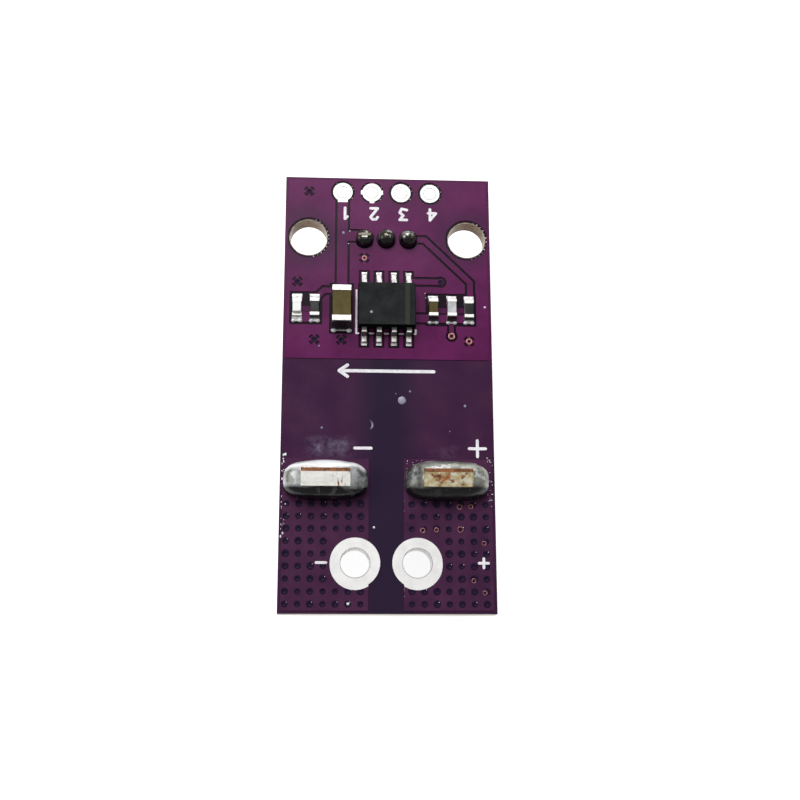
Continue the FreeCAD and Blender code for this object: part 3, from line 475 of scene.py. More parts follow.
def flux_haze(tree, colour):
    """Pale wisps of dried flux beside the two big joints."""
    wisps = product(tree, patches(tree, 1500.0), patches(tree, 420.0))
    for (left, right), (low, high) in HAZES:
        across, along = banded(tree, "X", left, right, 1.4), banded(tree, "Y", low, high, 0.9)
        colour = blend_colours(tree, product(tree, across, along, wisps, 0.5), colour, RESIN)
    return colour


def laminate_finish():
    """Dark mask on both faces, near black in the plane's channels, and bare glass fibre on the walls, with
    painted light on the wall at the power end.
    """
    material, tree, shader = new_material("masked_laminate", specular=0.05)
    centre = banded(tree, "X", -3.4, 3.2, 2.4)
    colour = blend_colours(tree, centre, mottled(tree, NAVY, NAVY_WARM, 240.0), NAVY_DEEP)
    colour = flux_haze(tree, colour)
    start = PLANE_END / MM
    colour = blend_colours(tree, banded(tree, "Y", start, FAR, 0.05), colour, PURPLE_DEEP)
    inside = COPPER_MARGIN / MM
    rows = banded(tree, "Y", start, BOARD_HIGH.y / MM - inside, 0.03)
    columns = banded(tree, "X", BOARD_LOW.x / MM + inside, BOARD_HIGH.x / MM - inside, 0.03)
    colour = blend_colours(tree, product(tree, rows, columns), colour, CHANNEL)
    parts_row = middle("lamp_end_caps").y / MM
    window = banded(tree, "Y", parts_row - 0.3, parts_row + 0.2, 0.04)
    for chips in (("lamp", "lamp_resistor"), ("small_capacitor", "output_resistor")):
        ends = [middle(f"{chip}_end_caps").x / MM for chip in chips]
        patch = product(tree, window, banded(tree, "X", *ends, 0.05))
        colour = blend_colours(tree, patch, colour, PURPLE_DEEP)
    colour = masked(tree, shader, colour)
    fibre = mottled(tree, FIBRE, FIBRE_DARK, 3000.0, WEAVE)
    # Painted light: the wall at the power end gets a lighter, lit copy of the fibre
    painted_lit_wall = mottled(tree, PAINTED_LIT_FIBRE, PAINTED_LIT_FIBRE_TAN, 3000.0, WEAVE)
    power_end = banded(tree, "Y", -FAR, BOARD_LOW.y / MM + 0.3, 0.1)
    wall = blend_colours(tree, power_end, fibre, painted_lit_wall)
    tree.links.new(blend_colours(tree, side_mask(tree), colour, wall), shader.inputs["Base Color"])
    return material


def leg_finish():
    """Tin over copper, worn through on the right leg, with a sheared strip of copper on both."""
    material, tree, shader = new_material("copper_leg", metallic=0.45)
    tin = mottled(tree, LEG_TIN, LEG_TIN_DULL, 1500.0)
    brassy = mottled(tree, BRASSY, LEG_PALE, 1700.0)
    copper = mottled(tree, COPPER, COPPER_DARK, 2200.0)
    right_leg = banded(tree, "X", 0, FAR, 0.1)
    colour = blend_colours(tree, right_leg, tin, brassy)
    worn = product(tree, right_leg, ramped(tree, patches(tree, 1300.0), 0.45, 0.8))
    streaks = ramped(tree, noise_field(tree, 5200.0, 2.0, 0.5, (1.0, 0.12, 1.0)), 0.58, 0.64)
    scratches = product(tree, streaks, banded(tree, "X", -4.6, -3.0, 0.2))
    sheared = banded(tree, "Y", LEG_ROW + 0.4, LEG_ROW + 2, 0.08)
    bare = greatest(tree, sheared, greatest(tree, worn, scratches))
    bare = product(tree, bare, above(tree, LANDS, 0.3 * MM))
    tree.links.new(blend_colours(tree, bare, colour, copper), shader.inputs["Base Color"])
    glossed(tree, shader, 0.35, 0.55, 2400.0)
    bumped(tree, shader, 0.6, 0.03, 7000.0, 1800.0)
    return material


def joint_finish(
    name, bright, dull, front, smooth, rough, relief, scale, metal, dark_end=None, rim=0.0, glints=0.0
):
    """Solder with painted dark reflection on slopes facing the power end, darker at one end where given,
    and painted highlights on the far rim and as glints.
    """
    material, tree, shader = new_material(name)
    uneven = patches(tree, 1100.0)
    # Painted dark reflection, in uneven patches, on the slopes that face the power end
    dark_slope_and_end = product(tree, facing(tree, "Y", *front), combined(tree, "ADD", uneven, 0.92))
    if dark_end:
        end = product(tree, banded(tree, "X", *dark_end), combined(tree, "ADD", uneven, 0.3), 0.9)
        dark_slope_and_end = greatest(tree, dark_slope_and_end, end)
    # A painted highlight along the far rim, held back where the back is very steep
    steep_back = product(tree, facing(tree, "Y", 0.72, 0.95), 0.7)
    painted_rim_highlight = product(tree, facing(tree, "Y", 0.2, 0.55), rim, inverted(tree, steep_back))
    dark_slope_and_end = combined(tree, "SUBTRACT", dark_slope_and_end, painted_rim_highlight)
    # Painted glints, as pale patches
    pale = product(tree, ramped(tree, patches(tree, scale * 0.7), 0.55, 0.7), glints)
    painted_highlights = greatest(tree, painted_rim_highlight, pale)
    colour = blend_colours(tree, painted_highlights, mottled(tree, bright, dull, scale), SOLDER_WHITE_AND_HIGHLIGHT)
    tree.links.new(blend_colours(tree, dark_slope_and_end, colour, SOLDER_BLACK), shader.inputs["Base Color"])
    plain_metal = inverted(tree, greatest(tree, dark_slope_and_end, painted_highlights))
    tree.links.new(product(tree, plain_metal, metal), shader.inputs["Metallic"])
    glossed(tree, shader, smooth, rough)
    bumped(tree, shader, relief, 0.03, 6000.0, 1500.0)
    return material


def amp_finish():
    """Charcoal moulding with a slightly paler stripe across its right end, and painted shade on the faces
    turned towards the power end.
    """
    material, tree, shader = new_material("amp_case", specular=0.0)
    right_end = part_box("amp_body")[1][0] / MM
    stripe = banded(tree, "X", right_end - 0.95, right_end - 0.5, 0.05)
    colour = blend_colours(tree, stripe, mottled(tree, AMP_GREY, AMP_GREY_DEEP, 900.0), CHARCOAL_PALE)
    # Painted shade on the faces turned towards the power end
    colour = blend_colours(tree, facing(tree, "Y", -0.5, -0.9), colour, AMP_SHADE)
    tree.links.new(colour, shader.inputs["Base Color"])
    glossed(tree, shader, 0.42, 0.6, 1500.0)
    bumped(tree, shader, 0.5, scale=14000.0, wave=3000.0)
    return material


def lens_finish():
    """Milky clear resin."""
    material, tree, shader = new_material("lamp_lens")
    tree.links.new(mottled(tree, LENS, LAMP_WHITE, 2500.0), shader.inputs["Base Color"])
    shader.inputs["Transmission Weight"].default_value = 0.12
    glossed(tree, shader, 0.12, 0.25, 2000.0)
    bumped(tree, shader, 0.1, 0.01)
    return material


def cap_finish(name, patch, metallic, shaded=None):
    """Plated ends and leads, with painted shade where they face the power end, and over a shaded band where
    one is given.
    """
    material, tree, shader = new_material(name)
    # Painted shade on the faces turned towards the power end
    dark = facing(tree, "Y", -0.55, -0.9)
    if shaded:
        dark = greatest(tree, dark, product(tree, banded(tree, "Y", *shaded), 0.75))
    colour = blend_colours(tree, dark, mottled(tree, TIN, patch, 3000.0), SHADED_TIN)
    tree.links.new(colour, shader.inputs["Base Color"])
    tree.links.new(product(tree, inverted(tree, dark), metallic), shader.inputs["Metallic"])
    glossed(tree, shader, 0.25, 0.45, 2500.0)
    bumped(tree, shader, 0.3, scale=9000.0, wave=3500.0)
    return material


def pad_finish():
    """Pale tin on the faces of the pads, and mirror bright down the walls of the header holes."""
    material, tree, shader = new_material("tinned_pad")
    wall = product(tree, side_mask(tree), banded(tree, "Y", 0, FAR, 0.1))
    colour = blend_colours(tree, wall, mottled(tree, PAD_WHITE, PAD_PALE, 900.0), WHITE)
    tree.links.new(colour, shader.inputs["Base Color"])
    tree.links.new(greatest(tree, wall, 0.2), shader.inputs["Metallic"])
    gloss = grouped(tree, GLOSS, Smooth=0.4, Rough=0.55)
    polish = inverted(tree, product(tree, wall, 0.75))
    tree.links.new(product(tree, gloss.outputs["Roughness"], polish), shader.inputs["Roughness"])
    bumped(tree, shader, 0.15)
    return material


def meniscus_finish():
    """Solder at the chip parts, with painted shade where it stands steep towards the power end."""
    material, tree, shader = new_material("meniscus")
    # Painted shade on the steep faces turned towards the power end
    steep = facing(tree, "Y", -0.35, -0.7)
    colour = blend_colours(tree, steep, mottled(tree, SOLDER_WHITE_AND_HIGHLIGHT, TIN_DULL, 3400.0), SHADED_TIN)
    tree.links.new(colour, shader.inputs["Base Color"])
    tree.links.new(product(tree, inverted(tree, steep), 0.15), shader.inputs["Metallic"])
    glossed(tree, shader, 0.16, 0.3, 2400.0)
    bumped(tree, shader, 0.8, 0.03, 7000.0, 3000.0)
    return material


FINISHES = {
    "masked_laminate": laminate_finish(),
    "masked_copper": copper_mask_finish(),
    "tinned_pad": pad_finish(),
    "solder": finish("solder", SOLDER, SOLDER_DULL, 2400.0, 0.16, 0.3, 0.7, metallic=0.55),
    "copper_leg": leg_finish(),
    "tinned_lead": cap_finish("tinned_lead", TIN_DULL, 0.3, SHOULDER),
    "core_steel": finish("core_steel", STEEL, TIN_DULL, 900.0, 0.3, 0.45, 0.3, metallic=1.0),
    "chip_case": finish("chip_case", EPOXY, CHARCOAL, 900.0, 0.45, 0.6, 0.5, specular=0.2),
    "black_moulding": finish("black_moulding", EPOXY, CHARCOAL, 700.0, 0.45, 0.6, 0.6, specular=0.3),
    "tinned_cap": cap_finish("tinned_cap", TIN_PALE, 0.4),
    "alumina": finish("alumina", ALUMINA, ALUMINA_DULL, 1800.0, 0.5, 0.65, 0.3),
    "resistor_coat": finish("resistor_coat", COAT, CHARCOAL, 1500.0, 0.25, 0.4, 0.2, specular=0.2),
    "pale_ceramic": finish("pale_ceramic", CERAMIC_PALE, CERAMIC_GREY, 1500.0, 0.5, 0.65, 0.3),
    "tan_ceramic": finish("tan_ceramic", CERAMIC, CERAMIC_DARK, 700.0, 0.42, 0.6, 0.35, specular=0.08),
    "lamp_lens": lens_finish(),
    "lamp_base": finish("lamp_base", LAMP_WHITE, LAMP_DULL, 2000.0, 0.4, 0.5, 0.2),
}
BRIGHT_JOINT = joint_finish(
    "bright_joint",
    SOLDER,
    SOLDER_DULL,
    front=(-0.14, -0.38),
    smooth=0.16,
    rough=0.3,
    relief=0.5,
    scale=700.0,
    metal=0.4,
    dark_end=(-3.2, 0, 0.7),
    rim=0.85,
)
MURKY_JOINT = joint_finish(
    "murky_joint",
    SOLDER_MURKY,
    SOLDER_DULL,
    front=(-0.14, -0.4),
    smooth=0.26,
    rough=0.45,
    relief=0.9,
    scale=1400.0,
    metal=0.6,
    dark_end=(0, 3.0, 0.5),
    glints=0.5,
)
DARK_JOINT = joint_finish(
    "dark_joint",
    SOLDER_DARK,
    LEAD_GREY,
    front=(-0.02, -0.36),
    smooth=0.12,
    rough=0.3,
    relief=0.9,
    scale=2600.0,
    metal=0.85,
    glints=0.36,
)
SILK = finish("silk_ink", INK, INK_DULL, 2200.0, 0.5, 0.7, 0.3, specular=0.3)
FLUX = finish("dried_flux", RESIN, RESIN_DARK, 1500.0, 0.3, 0.5, 0.5)
MENISCUS = meniscus_finish()
AMP_CASE = amp_finish()
CUT_END = finish("sheared_lead", SHEARED_LEAD, SHEARED_TIN, 3000.0, 0.35, 0.5, 0.4, metallic=0.3)
# Bright crumbs and beads of tin, also used for bright specks that stand for painted glints
CRUMB_AND_GLINT = finish("bright_crumb_and_glint", SOLDER_WHITE_AND_HIGHLIGHT, CRUMB_AND_GLINT_GREY, 2500.0, 0.15, 0.3, 0.5)
RING = finish("bare_copper_ring", RUST, RUST_PALE, 4200.0, 0.3, 0.4, 0.3, metallic=0.2)
DIMPLE = finish("via_dimple", DISH, DISH_DARK, 2400.0, 0.3, 0.45, 0.2, specular=0.06)
MOUTH = finish("barrel_mouth", BARREL_MOUTH, TIN_DULL, 2600.0, 0.35, 0.5, 0.3)
RIM = finish("drilled_rim", FIBRE, RIM_BROWN, 2600.0, 0.3, 0.45, 0.5)

SLOT_OF = {}
for name, node in NODES.items():
    SLOT_OF[name] = node.material_slots[0].name.split(".")[0]
    for slot in node.material_slots:
        slot.material = FINISHES[slot.name.split(".")[0]]


# Pieces

chance = random.Random(7)


def show(bm, name, material, smooth=True):
    """Turns a bmesh into a piece that rides with the board."""
    bmesh.ops.remove_doubles(bm, verts=bm.verts, dist=0.00001 * MM)
    bmesh.ops.recalc_face_normals(bm, faces=bm.faces)
    mesh = bpy.data.meshes.new(name)
    bm.to_mesh(mesh)
    bm.free()
    for polygon in mesh.polygons:
        polygon.use_smooth = smooth
    piece = bpy.data.objects.new(name, mesh)
    piece.data.materials.append(material)
    bpy.context.collection.objects.link(piece)
    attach(piece, "root")
    return piece


def softened(name, radius, material=None):
    """A node's own form with its sharp edges rounded."""
    bm = bmesh.new()
    bm.from_mesh(NODES[name].data)
    bmesh.ops.remove_doubles(bm, verts=bm.verts, dist=0.0001 * MM)
    bmesh.ops.dissolve_limit(bm, angle_limit=math.radians(2), verts=bm.verts, edges=bm.edges)
    shared = [edge for edge in bm.edges if len(edge.link_faces) == 2]
    sharp = [edge for edge in shared if edge.calc_face_angle() > math.radians(25)]
    bmesh.ops.bevel(
        bm,
        geom=sharp,
        offset=radius,
        segments=2,
        affect="EDGES",
        profile=0.5,
        material=-1,
        clamp_overlap=True,
    )
    slot = SLOT_OF[name]
    piece = show(bm, name + "_rounded", material or FINISHES[slot], smooth=False)
    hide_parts(name)


# Radii of the rounded edges, in millimetres
EDGE_RADII = {
    "large_capacitor_body": 0.03,
    "large_capacitor_end_caps": 0.06,
    "small_capacitor_body": 0.02,
    "small_capacitor_end_caps": 0.03,
    "pale_capacitor_body": 0.02,
    "pale_capacitor_end_caps": 0.03,
    "output_resistor_substrate": 0.01,
    "output_resistor_overcoat": 0.02,
    "output_resistor_end_caps": 0.02,
    "lamp_resistor_substrate": 0.01,
    "lamp_resistor_overcoat": 0.02,
    "lamp_resistor_end_caps": 0.02,
    "lamp_base": 0.02,
    "lamp_lens": 0.03,
    "lamp_end_caps": 0.02,
}
for name, radius in EDGE_RADII.items():
    softened(name, radius * MM)
softened("amp_body", 0.05 * MM, material=AMP_CASE)
for number in range(1, 9):
    softened(f"amp_lead_{number}", 0.03 * MM)


# Solder

CHIPS = ("large_capacitor", "small_capacitor", "pale_capacitor", "output_resistor", "lamp_resistor", "lamp")
CHIP_REACH = 0.42 * MM
AMP_REACH = 0.28 * MM

# How a mound's plan fills its corners, how blunt its crest is, and how close its lumps lie
ROUND_ENDS = 0.68
BLUNT_CREST = 0.62
LUMPS_PER_METRE = 900


def closed_cut(bm, cut):
    """Closes what a plane has cut open, and gives back the rim of the cut."""
    rim = [item for item in cut["geom_cut"] if isinstance(item, bmesh.types.BMEdge)]
    bmesh.ops.holes_fill(bm, edges=rim, sides=0)
    return rim


def loaf(bm, centre, length, width, height, low, unevenness, upwards=1, corner_power=1.0):
    """A rounded mound, slightly uneven and closed underneath.

    A corner power below 1 fills the corners of its plan.
    """
    verts = bmesh.ops.create_uvsphere(bm, u_segments=56, v_segments=28, radius=1.0)["verts"]
    edges = {edge for vert in verts for edge in vert.link_edges}
    faces = {face for vert in verts for face in vert.link_faces}
    geom = verts + list(edges) + list(faces)
    halved = bmesh.ops.bisect_plane(bm, geom=geom, plane_co=(0, 0, 0), plane_no=(0, 0, 1), clear_inner=True)
    rim = closed_cut(bm, halved)
    kept = {item for item in halved["geom"] if isinstance(item, bmesh.types.BMVert)}
    kept |= {vert for edge in rim for vert in edge.verts}
    for vert in kept:
        x, y, z = vert.co
        reach = max(math.hypot(x, y), 1e-6)
        x, y = (math.copysign(abs(part / reach) ** corner_power * reach, part) for part in (x, y))
        rise = max(z, 0.0) ** BLUNT_CREST * height
        spot = Vector((centre[0] + x * length / 2, centre[1] + y * width / 2, low + upwards * rise))
        wobble = noise.noise(spot * LUMPS_PER_METRE) * unevenness * min(rise / height * 2, 1)
        vert.co = spot + Vector((wobble * 0.3, wobble * 0.3, upwards * wobble * 0.6)) * height


def terminal_mound(side, material):
    """The long joint round one leg, with a lower one under the board."""
    name = f"{side}_terminal_solder"
    low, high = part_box(name)
    centre = middle(name)
    length, width = high[0] - low[0], high[1] - low[1]
    bm = bmesh.new()
    loaf(bm, centre, length, width, high[2] - LANDS, LANDS, 0.1, corner_power=ROUND_ENDS)
    loaf(bm, centre, length * 0.86, width * 0.75, BACK - low[2], BACK, 0.04, -1, ROUND_ENDS)
    piece = show(bm, f"{side}_solder_mound", material)
    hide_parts(name)


def signal_dome(number, lift):
    """One dome on its land, and a lower one under the board.

    The lift is how far its crest goes past the lead's cut end.
    """
    name = f"signal_solder_{number}"
    low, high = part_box(name)
    centre = middle(name)
    size = high[0] - low[0]
    bm = bmesh.new()
    loaf(bm, centre, size * 1.001, size, top(f"signal_lead_{number}") + lift - LANDS, LANDS, 0.14)
    loaf(bm, centre, size * 0.95, size * 0.9, BACK - low[2], BACK, 0.04, upwards=-1)
    piece = show(bm, f"signal_dome_{number}", DARK_JOINT)
    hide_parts(name)


def fillet(bm, x, y, side, width, reach, climb, toe, low):
    """A concave solder fillet that climbs the end of a part."""
    steps = 6
    shares = [step / steps for step in range(steps + 1)]
    crest = [(reach * share, toe + (climb - toe) * (1 - share) ** 2.1) for share in shares]
    outline = [(0.0, 0.0)] + crest + [(reach, 0.0)]
    verts = [bm.verts.new((x - width / 2, y + side * out, low + up)) for out, up in outline]
    face = bm.faces.new(verts)
    grown = bmesh.ops.extrude_face_region(bm, geom=[face])
    moved = [item for item in grown["geom"] if isinstance(item, bmesh.types.BMVert)]
    bmesh.ops.translate(bm, verts=moved, vec=(width, 0, 0))


def chip_fillets():
    """Solder at both ends of each chip part."""
    bm = bmesh.new()
    for chip in CHIPS:
        low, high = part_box(f"{chip}_end_caps")
        x = middle(f"{chip}_end_caps").x
        width = (high[0] - low[0]) * 1.04
        climb = (high[2] - low[2]) * 0.72
        for side, y in ((-1, low[1]), (1, high[1])):
            fillet(bm, x, y, side, width, CHIP_REACH, climb, 0.05 * MM, LANDS)
    piece = show(bm, "chip_menisci", MENISCUS, smooth=False)
    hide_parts("chip_solder")


def amp_fillets():
    """Solder at the toes of the amplifier's leads."""
    bm = bmesh.new()
    for number in range(1, 9):
        low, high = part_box(f"amp_lead_{number}")
        x = middle(f"amp_lead_{number}").x
        side = 1 if number <= 4 else -1
        toe = high[1] if side > 0 else low[1]
        width = (high[0] - low[0]) * 1.1
        fillet(bm, x, toe, side, width, AMP_REACH, 0.16 * MM, 0.03 * MM, LANDS)
    piece = show(bm, "amp_menisci", MENISCUS, smooth=False)
    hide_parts("amp_solder")


terminal_mound("negative", BRIGHT_JOINT)
terminal_mound("positive", MURKY_JOINT)
for number, lift in ((1, -0.08), (2, 0.05), (3, 0.05)):
    signal_dome(number, lift * MM)
chip_fillets()
amp_fillets()


# Vias

VIA_PITCH = 1.016 * MM
VIA_RADIUS = 0.27 * MM
VIA_ROWS = 9
VIA_COLUMNS = 7
VIA_START = {"negative": 0.33 * MM, "positive": 0.63 * MM}
VIA_BOTTOM = 0.79 * MM


def turned(bm, x, y, low, section, segments=12):
    """A section of radius and height pairs, in millimetres, turned about an upright axis."""
    verts = [bm.verts.new((x + out * MM, y, low + up * MM)) for out, up in section]
    edges = [bm.edges.new(pair) for pair in zip(verts, verts[1:])]
    bmesh.ops.spin(
        bm,
        geom=verts + edges,
        cent=(x, y, 0),
        axis=(0, 0, 1),
        angle=math.tau,
        steps=segments,
        use_merge=True,
    )


def cup(bm, x, y, radius, side=1):
    """A small round dimple of mask, a closed dish set in the copper."""
    r = radius / MM
    section = [(0.0, -0.03), (0.35 * r, -0.025), (0.6 * r, 0.006), (0.95 * r, 0.006), (1.12 * r, 0.0)]
    section += [(1.12 * r, -0.02), (0.0, -0.06)]
    turned(bm, x, y, LANDS if side > 0 else BACK, [(out, side * up) for out, up in section])


def via_grid(side):
    """Centres of the stitching vias of one pour, left open round its ring."""
    ring = middle(f"{side}_ring")
    keep_out = span(f"{side}_ring", 0) / 2
    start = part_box(f"{side}_front_pour")[0][0] + VIA_START[side]
    bottom = BOARD_LOW.y + VIA_BOTTOM
    for row in range(VIA_ROWS):
        for column in range(VIA_COLUMNS):
            x, y = start + column * VIA_PITCH, bottom + row * VIA_PITCH
            if abs(x - ring.x) > keep_out or abs(y - ring.y) > keep_out:
                yield x, y


def dimples():
    """The dishes of each pour's stitching vias on both faces."""
    for side in ("negative", "positive"):
        bm = bmesh.new()
        for x, y in via_grid(side):
            cup(bm, x, y, VIA_RADIUS * chance.uniform(0.85, 1.12))
            cup(bm, x, y, VIA_RADIUS, side=-1)
        show(bm, f"{side}_via_dimples", DIMPLE)


# Places of single vias in millimetres, and where a ring of copper shows, with its radius

PLANE_VIAS = [(-6.85, 17.55), (-2.02, 11.45), (-7.74, 9.2), (-6.24, 4.05), (-3.95, 4.05), (6.95, 4.05)]
TRACK_VIAS = [(4.565, 9.35), (5.45, 4.5)]
BARE_RINGS = [
    (5.92, -10.18, 0.2),
    (6.84, -10.17, 0.17),
    (2.87, -12.14, 0.18),
    (3.99, -12.09, 0.17),
    (5.97, -12.05, 0.22),
    (7.89, -13.18, 0.17),
    (7.01, -16.23, 0.17),
    (7.9, -17.2, 0.16),
    (-2.02, 11.45, 0.18),
    (6.95, 4.05, 0.21),
    (5.45, 4.5, 0.23),
]


def plane_vias():
    """The dishes of the vias in the ground plane and in the tracks."""
    bm = bmesh.new()
    for x, y in PLANE_VIAS + TRACK_VIAS:
        cup(bm, x * MM, y * MM, VIA_RADIUS * 0.9)
    show(bm, "plane_via_dimples", DIMPLE)


def bare_rings():
    """Rings where the mask has broken away round a via, wider at the header end."""
    bm = bmesh.new()
    for x, y, radius in BARE_RINGS:
        half = 0.035 if y < 0 else 0.4 * radius
        inner, outer = radius - half, radius + half
        section = [(inner, 0.0), (radius - half / 2, 0.014), (radius + half / 2, 0.012), (outer, 0.0)]
        turned(bm, x * MM, y * MM, LANDS, section + section[:1], 16)
    show(bm, "bare_via_rings", RING)


dimples()
plane_vias()
bare_rings()


# Mask openings, wider than the pads they bare


def flat_ring(bm, x, y, inner, outer, height):
    """A thin flat ring on the copper, its radii and height in millimetres."""
    section = [(inner, 0.0), (inner, height), (outer, height), (outer, 0.0), (inner, 0.0)]
    turned(bm, x, y, LANDS, section, 48)


def ring_openings():
    """Each ring's opening sits a little low, so on the pour it ends in a step at the pour's edge."""
    for side, sign_x in (("negative", 1), ("positive", -1)):
        ring = middle(f"{side}_ring")
        low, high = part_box(f"{side}_front_pour")
        edge = high[0] if sign_x > 0 else low[0]
        radius = span(f"{side}_ring", 0) / 2 / MM
        bm = bmesh.new()
        flat_ring(bm, ring.x, ring.y - 0.14 * MM, radius - 0.3, radius + 0.01, 0.008)
        geom = list(bm.verts) + list(bm.edges) + list(bm.faces)
        cut = bmesh.ops.bisect_plane(
            bm, geom=geom, plane_co=(edge, 0, 0), plane_no=(sign_x, 0, 0), clear_outer=True
        )
        closed_cut(bm, cut)
        show(bm, f"{side}_ring_opening", FINISHES["tinned_pad"], smooth=False)


def slab(bm, x, y, width, depth, low, height):
    """A thin upright block about a place on the board, in metres."""
    size = Matrix.Diagonal((width, depth, height, 1))
    bmesh.ops.create_cube(bm, size=1.0, matrix=Matrix.Translation((x, y, low + height / 2)) @ size)


def header_tabs():
    """Bared ends of the track and of the three spokes that run into the first two header pads."""
    bm = bmesh.new()
    reach = span("header_pad_1", 0) / 2
    first, second = middle("header_pad_1"), middle("header_pad_2")
    track, spoke, bared, thin = 0.86 * MM, 0.4 * MM, 0.2 * MM, 0.01 * MM
    slab(bm, first.x, first.y - reach, track, bared, LANDS, thin)
    slab(bm, second.x, second.y - reach, spoke, bared * 1.5, LANDS, thin)
    for side in (-1, 1):
        slab(bm, second.x + side * reach, second.y, bared * 1.2, spoke, LANDS, thin)
    show(bm, "header_pad_tabs", FINISHES["tinned_pad"], smooth=False)


def barrel_mouths():
    """The dull rolled edge where each plated barrel meets its pad."""
    bm = bmesh.new()
    places = [(middle(f"header_pad_{number}"), HEADER_BORE) for number in (1, 2, 3, 4)]
    places += [(middle(f"{side}_ring"), RING_BORE) for side in ("negative", "positive")]
    for centre, bore in places:
        flat_ring(bm, centre.x, centre.y, bore, bore + 0.045, 0.012)
    show(bm, "barrel_mouths", MOUTH, smooth=False)


def hole_rims():
    """The broken edge of mask and fibre round each plain mounting hole."""
    bm = bmesh.new()
    for side in (-1, 1):
        section = [(0.0, -0.03), (0.0, 0.01), (0.03, 0.022), (0.07, 0.0), (0.0, -0.03)]
        section = [(MOUNT_BORE + out, up) for out, up in section]
        turned(bm, side * MOUNT_X, MOUNT_Y, MASK, section, 64)
    show(bm, "mounting_hole_rims", RIM)


ring_openings()
header_tabs()
barrel_mouths()
hole_rims()


# Specks of flux, dust and tin that lie on the board, and bright specks for painted glints


def blot(bm, x, y, low, radius, height, stretch=1.0):
    """A flattened drop, in millimetres but for its level."""
    shape = Matrix.Diagonal((radius * stretch * MM, radius * MM, height * MM, 1))
    spot = Matrix.Translation((x * MM, y * MM, low))
    bmesh.ops.create_uvsphere(bm, u_segments=12, v_segments=6, radius=1.0, matrix=spot @ shape)


CRESCENT_X = -1.72
CRESCENT_Y = -3.32
CRESCENT_RADIUS = 0.45


def dust():
    """Flecks of dust, and a crescent of dried flux laid down as overlapping drops."""
    bm = bmesh.new()
    for x, y, low, radius in (
        (-3.85, 13.74, LANDS, 0.13),
        (1.2, -1.18, MASK, 0.36),
        (1.88, -0.39, MASK, 0.1),
        (6.51, -1.6, MASK, 0.12),
        (-5.82, 3.49, LANDS, 0.08),
        (0.7, -0.6, MASK, 0.06),
        (-5.5, -3.6, MASK, 0.1),
        (5.2, -3.8, MASK, 0.06),
    ):
        blot(bm, x, y, low, radius, 0.03)
    last = 8
    for step in range(last + 1):
        turn = math.radians(-55 + 110 * step / last)
        x = CRESCENT_X + CRESCENT_RADIUS * math.cos(turn)
        y = CRESCENT_Y + CRESCENT_RADIUS * math.sin(turn)
        blot(bm, x, y, MASK, 0.03 + 0.07 * math.sin(math.pi * step / last), 0.03)
    show(bm, "dust_specks", FLUX)


def crumbs():
    """Bright crumbs of tin and fibre along both long edges and beside the right joint, which also stand for
    painted glints there.
    """
    bm = bmesh.new()
    for _ in range(34):
        x = -8.72 + chance.random() ** 2 * 0.35
        y = chance.uniform(-12.8, -5.8)
        radius = chance.uniform(0.04, 0.13)
        blot(bm, x, y, LANDS, radius, 0.03, chance.uniform(0.25, 0.7))
    for _ in range(26):
        x = 8.25 + chance.random() * 0.45
        y = chance.uniform(-10.2, -6.0)
        radius = chance.uniform(0.02, 0.045)
        blot(bm, x, y, LANDS, radius, 0.03, chance.uniform(0.8, 2.0))
    for _ in range(18):
        x = chance.uniform(1.5, 3.4)
        y = chance.uniform(-7.2, -6.3)
        blot(bm, x, y, LANDS, chance.uniform(0.015, 0.035), 0.02, 1.4)
    for x, y, low, radius in (
        (8.35, 7.14, LANDS, 0.1),
        (3.21, 8.3, LANDS, 0.05),
        (3.26, 7.9, LANDS, 0.04),
        (-1.13, -11.91, MASK, 0.1),
        (-3.2, -18.1, LANDS, 0.12),
        (-3.4, 12.75, LANDS, 0.05),
        (-3.3, 13.9, LANDS, 0.05),
    ):
        blot(bm, x, y, low, radius, 0.04)
    show(bm, "bright_crumbs", CRUMB_AND_GLINT)


def cut_lead_bar():
    """The first signal lead's sheared end, smeared flat across its joint."""
    tip = middle("signal_lead_1")
    row = middle("signal_solder_1").y
    bm = bmesh.new()
    slab(bm, tip.x, row + 0.06 * MM, 1.12 * MM, 0.24 * MM, top("signal_lead_1") - 0.2 * MM, 0.24 * MM)
    edges = list(bm.edges)
    bmesh.ops.bevel(bm, geom=edges, offset=0.05 * MM, segments=2, affect="EDGES", profile=0.5, material=-1)
    show(bm, "cut_lead_bar", CUT_END, smooth=False)


def corner_beads():
    """Bright beads of solder at the corners of each chip part's land, on the power side."""
    bm = bmesh.new()
    for chip in CHIPS:
        low, high = (Vector(corner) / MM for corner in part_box(f"{chip}_end_caps"))
        size = 0.11 + 0.06 * (high.x - low.x)
        for x in (low.x + size * 0.7, high.x - size * 0.7):
            blot(bm, x, low.y - 0.36, LANDS, size, 0.19, 1.2)
    show(bm, "corner_beads", CRUMB_AND_GLINT)


def rim_glints():
    """Painted glints: bright specks on the mask along the right side of each mounting hole and round the
    header pads.
    """
    bm = bmesh.new()
    past_hole = MOUNT_BORE + 0.15
    for side in (-1, 1):
        for step in range(13):
            turn = math.radians(-75 + 12 * step)
            x = side * MOUNT_X / MM + past_hole * math.cos(turn)
            y = MOUNT_Y / MM + past_hole * math.sin(turn)
            blot(bm, x, y, MASK, chance.uniform(0.025, 0.06), 0.03)
    past_pad = span("header_pad_1", 0) / 2 / MM + 0.14
    for number in (1, 2, 3, 4):
        pad = middle(f"header_pad_{number}") / MM
        for angle in (-32, 8, 38, 128):
            turn = math.radians(angle + chance.uniform(-9, 9))
            x, y = pad.x + past_pad * math.cos(turn), pad.y + past_pad * math.sin(turn)
            blot(bm, x, y, MASK, chance.uniform(0.025, 0.05), 0.03)
    show(bm, "rim_glints", CRUMB_AND_GLINT)


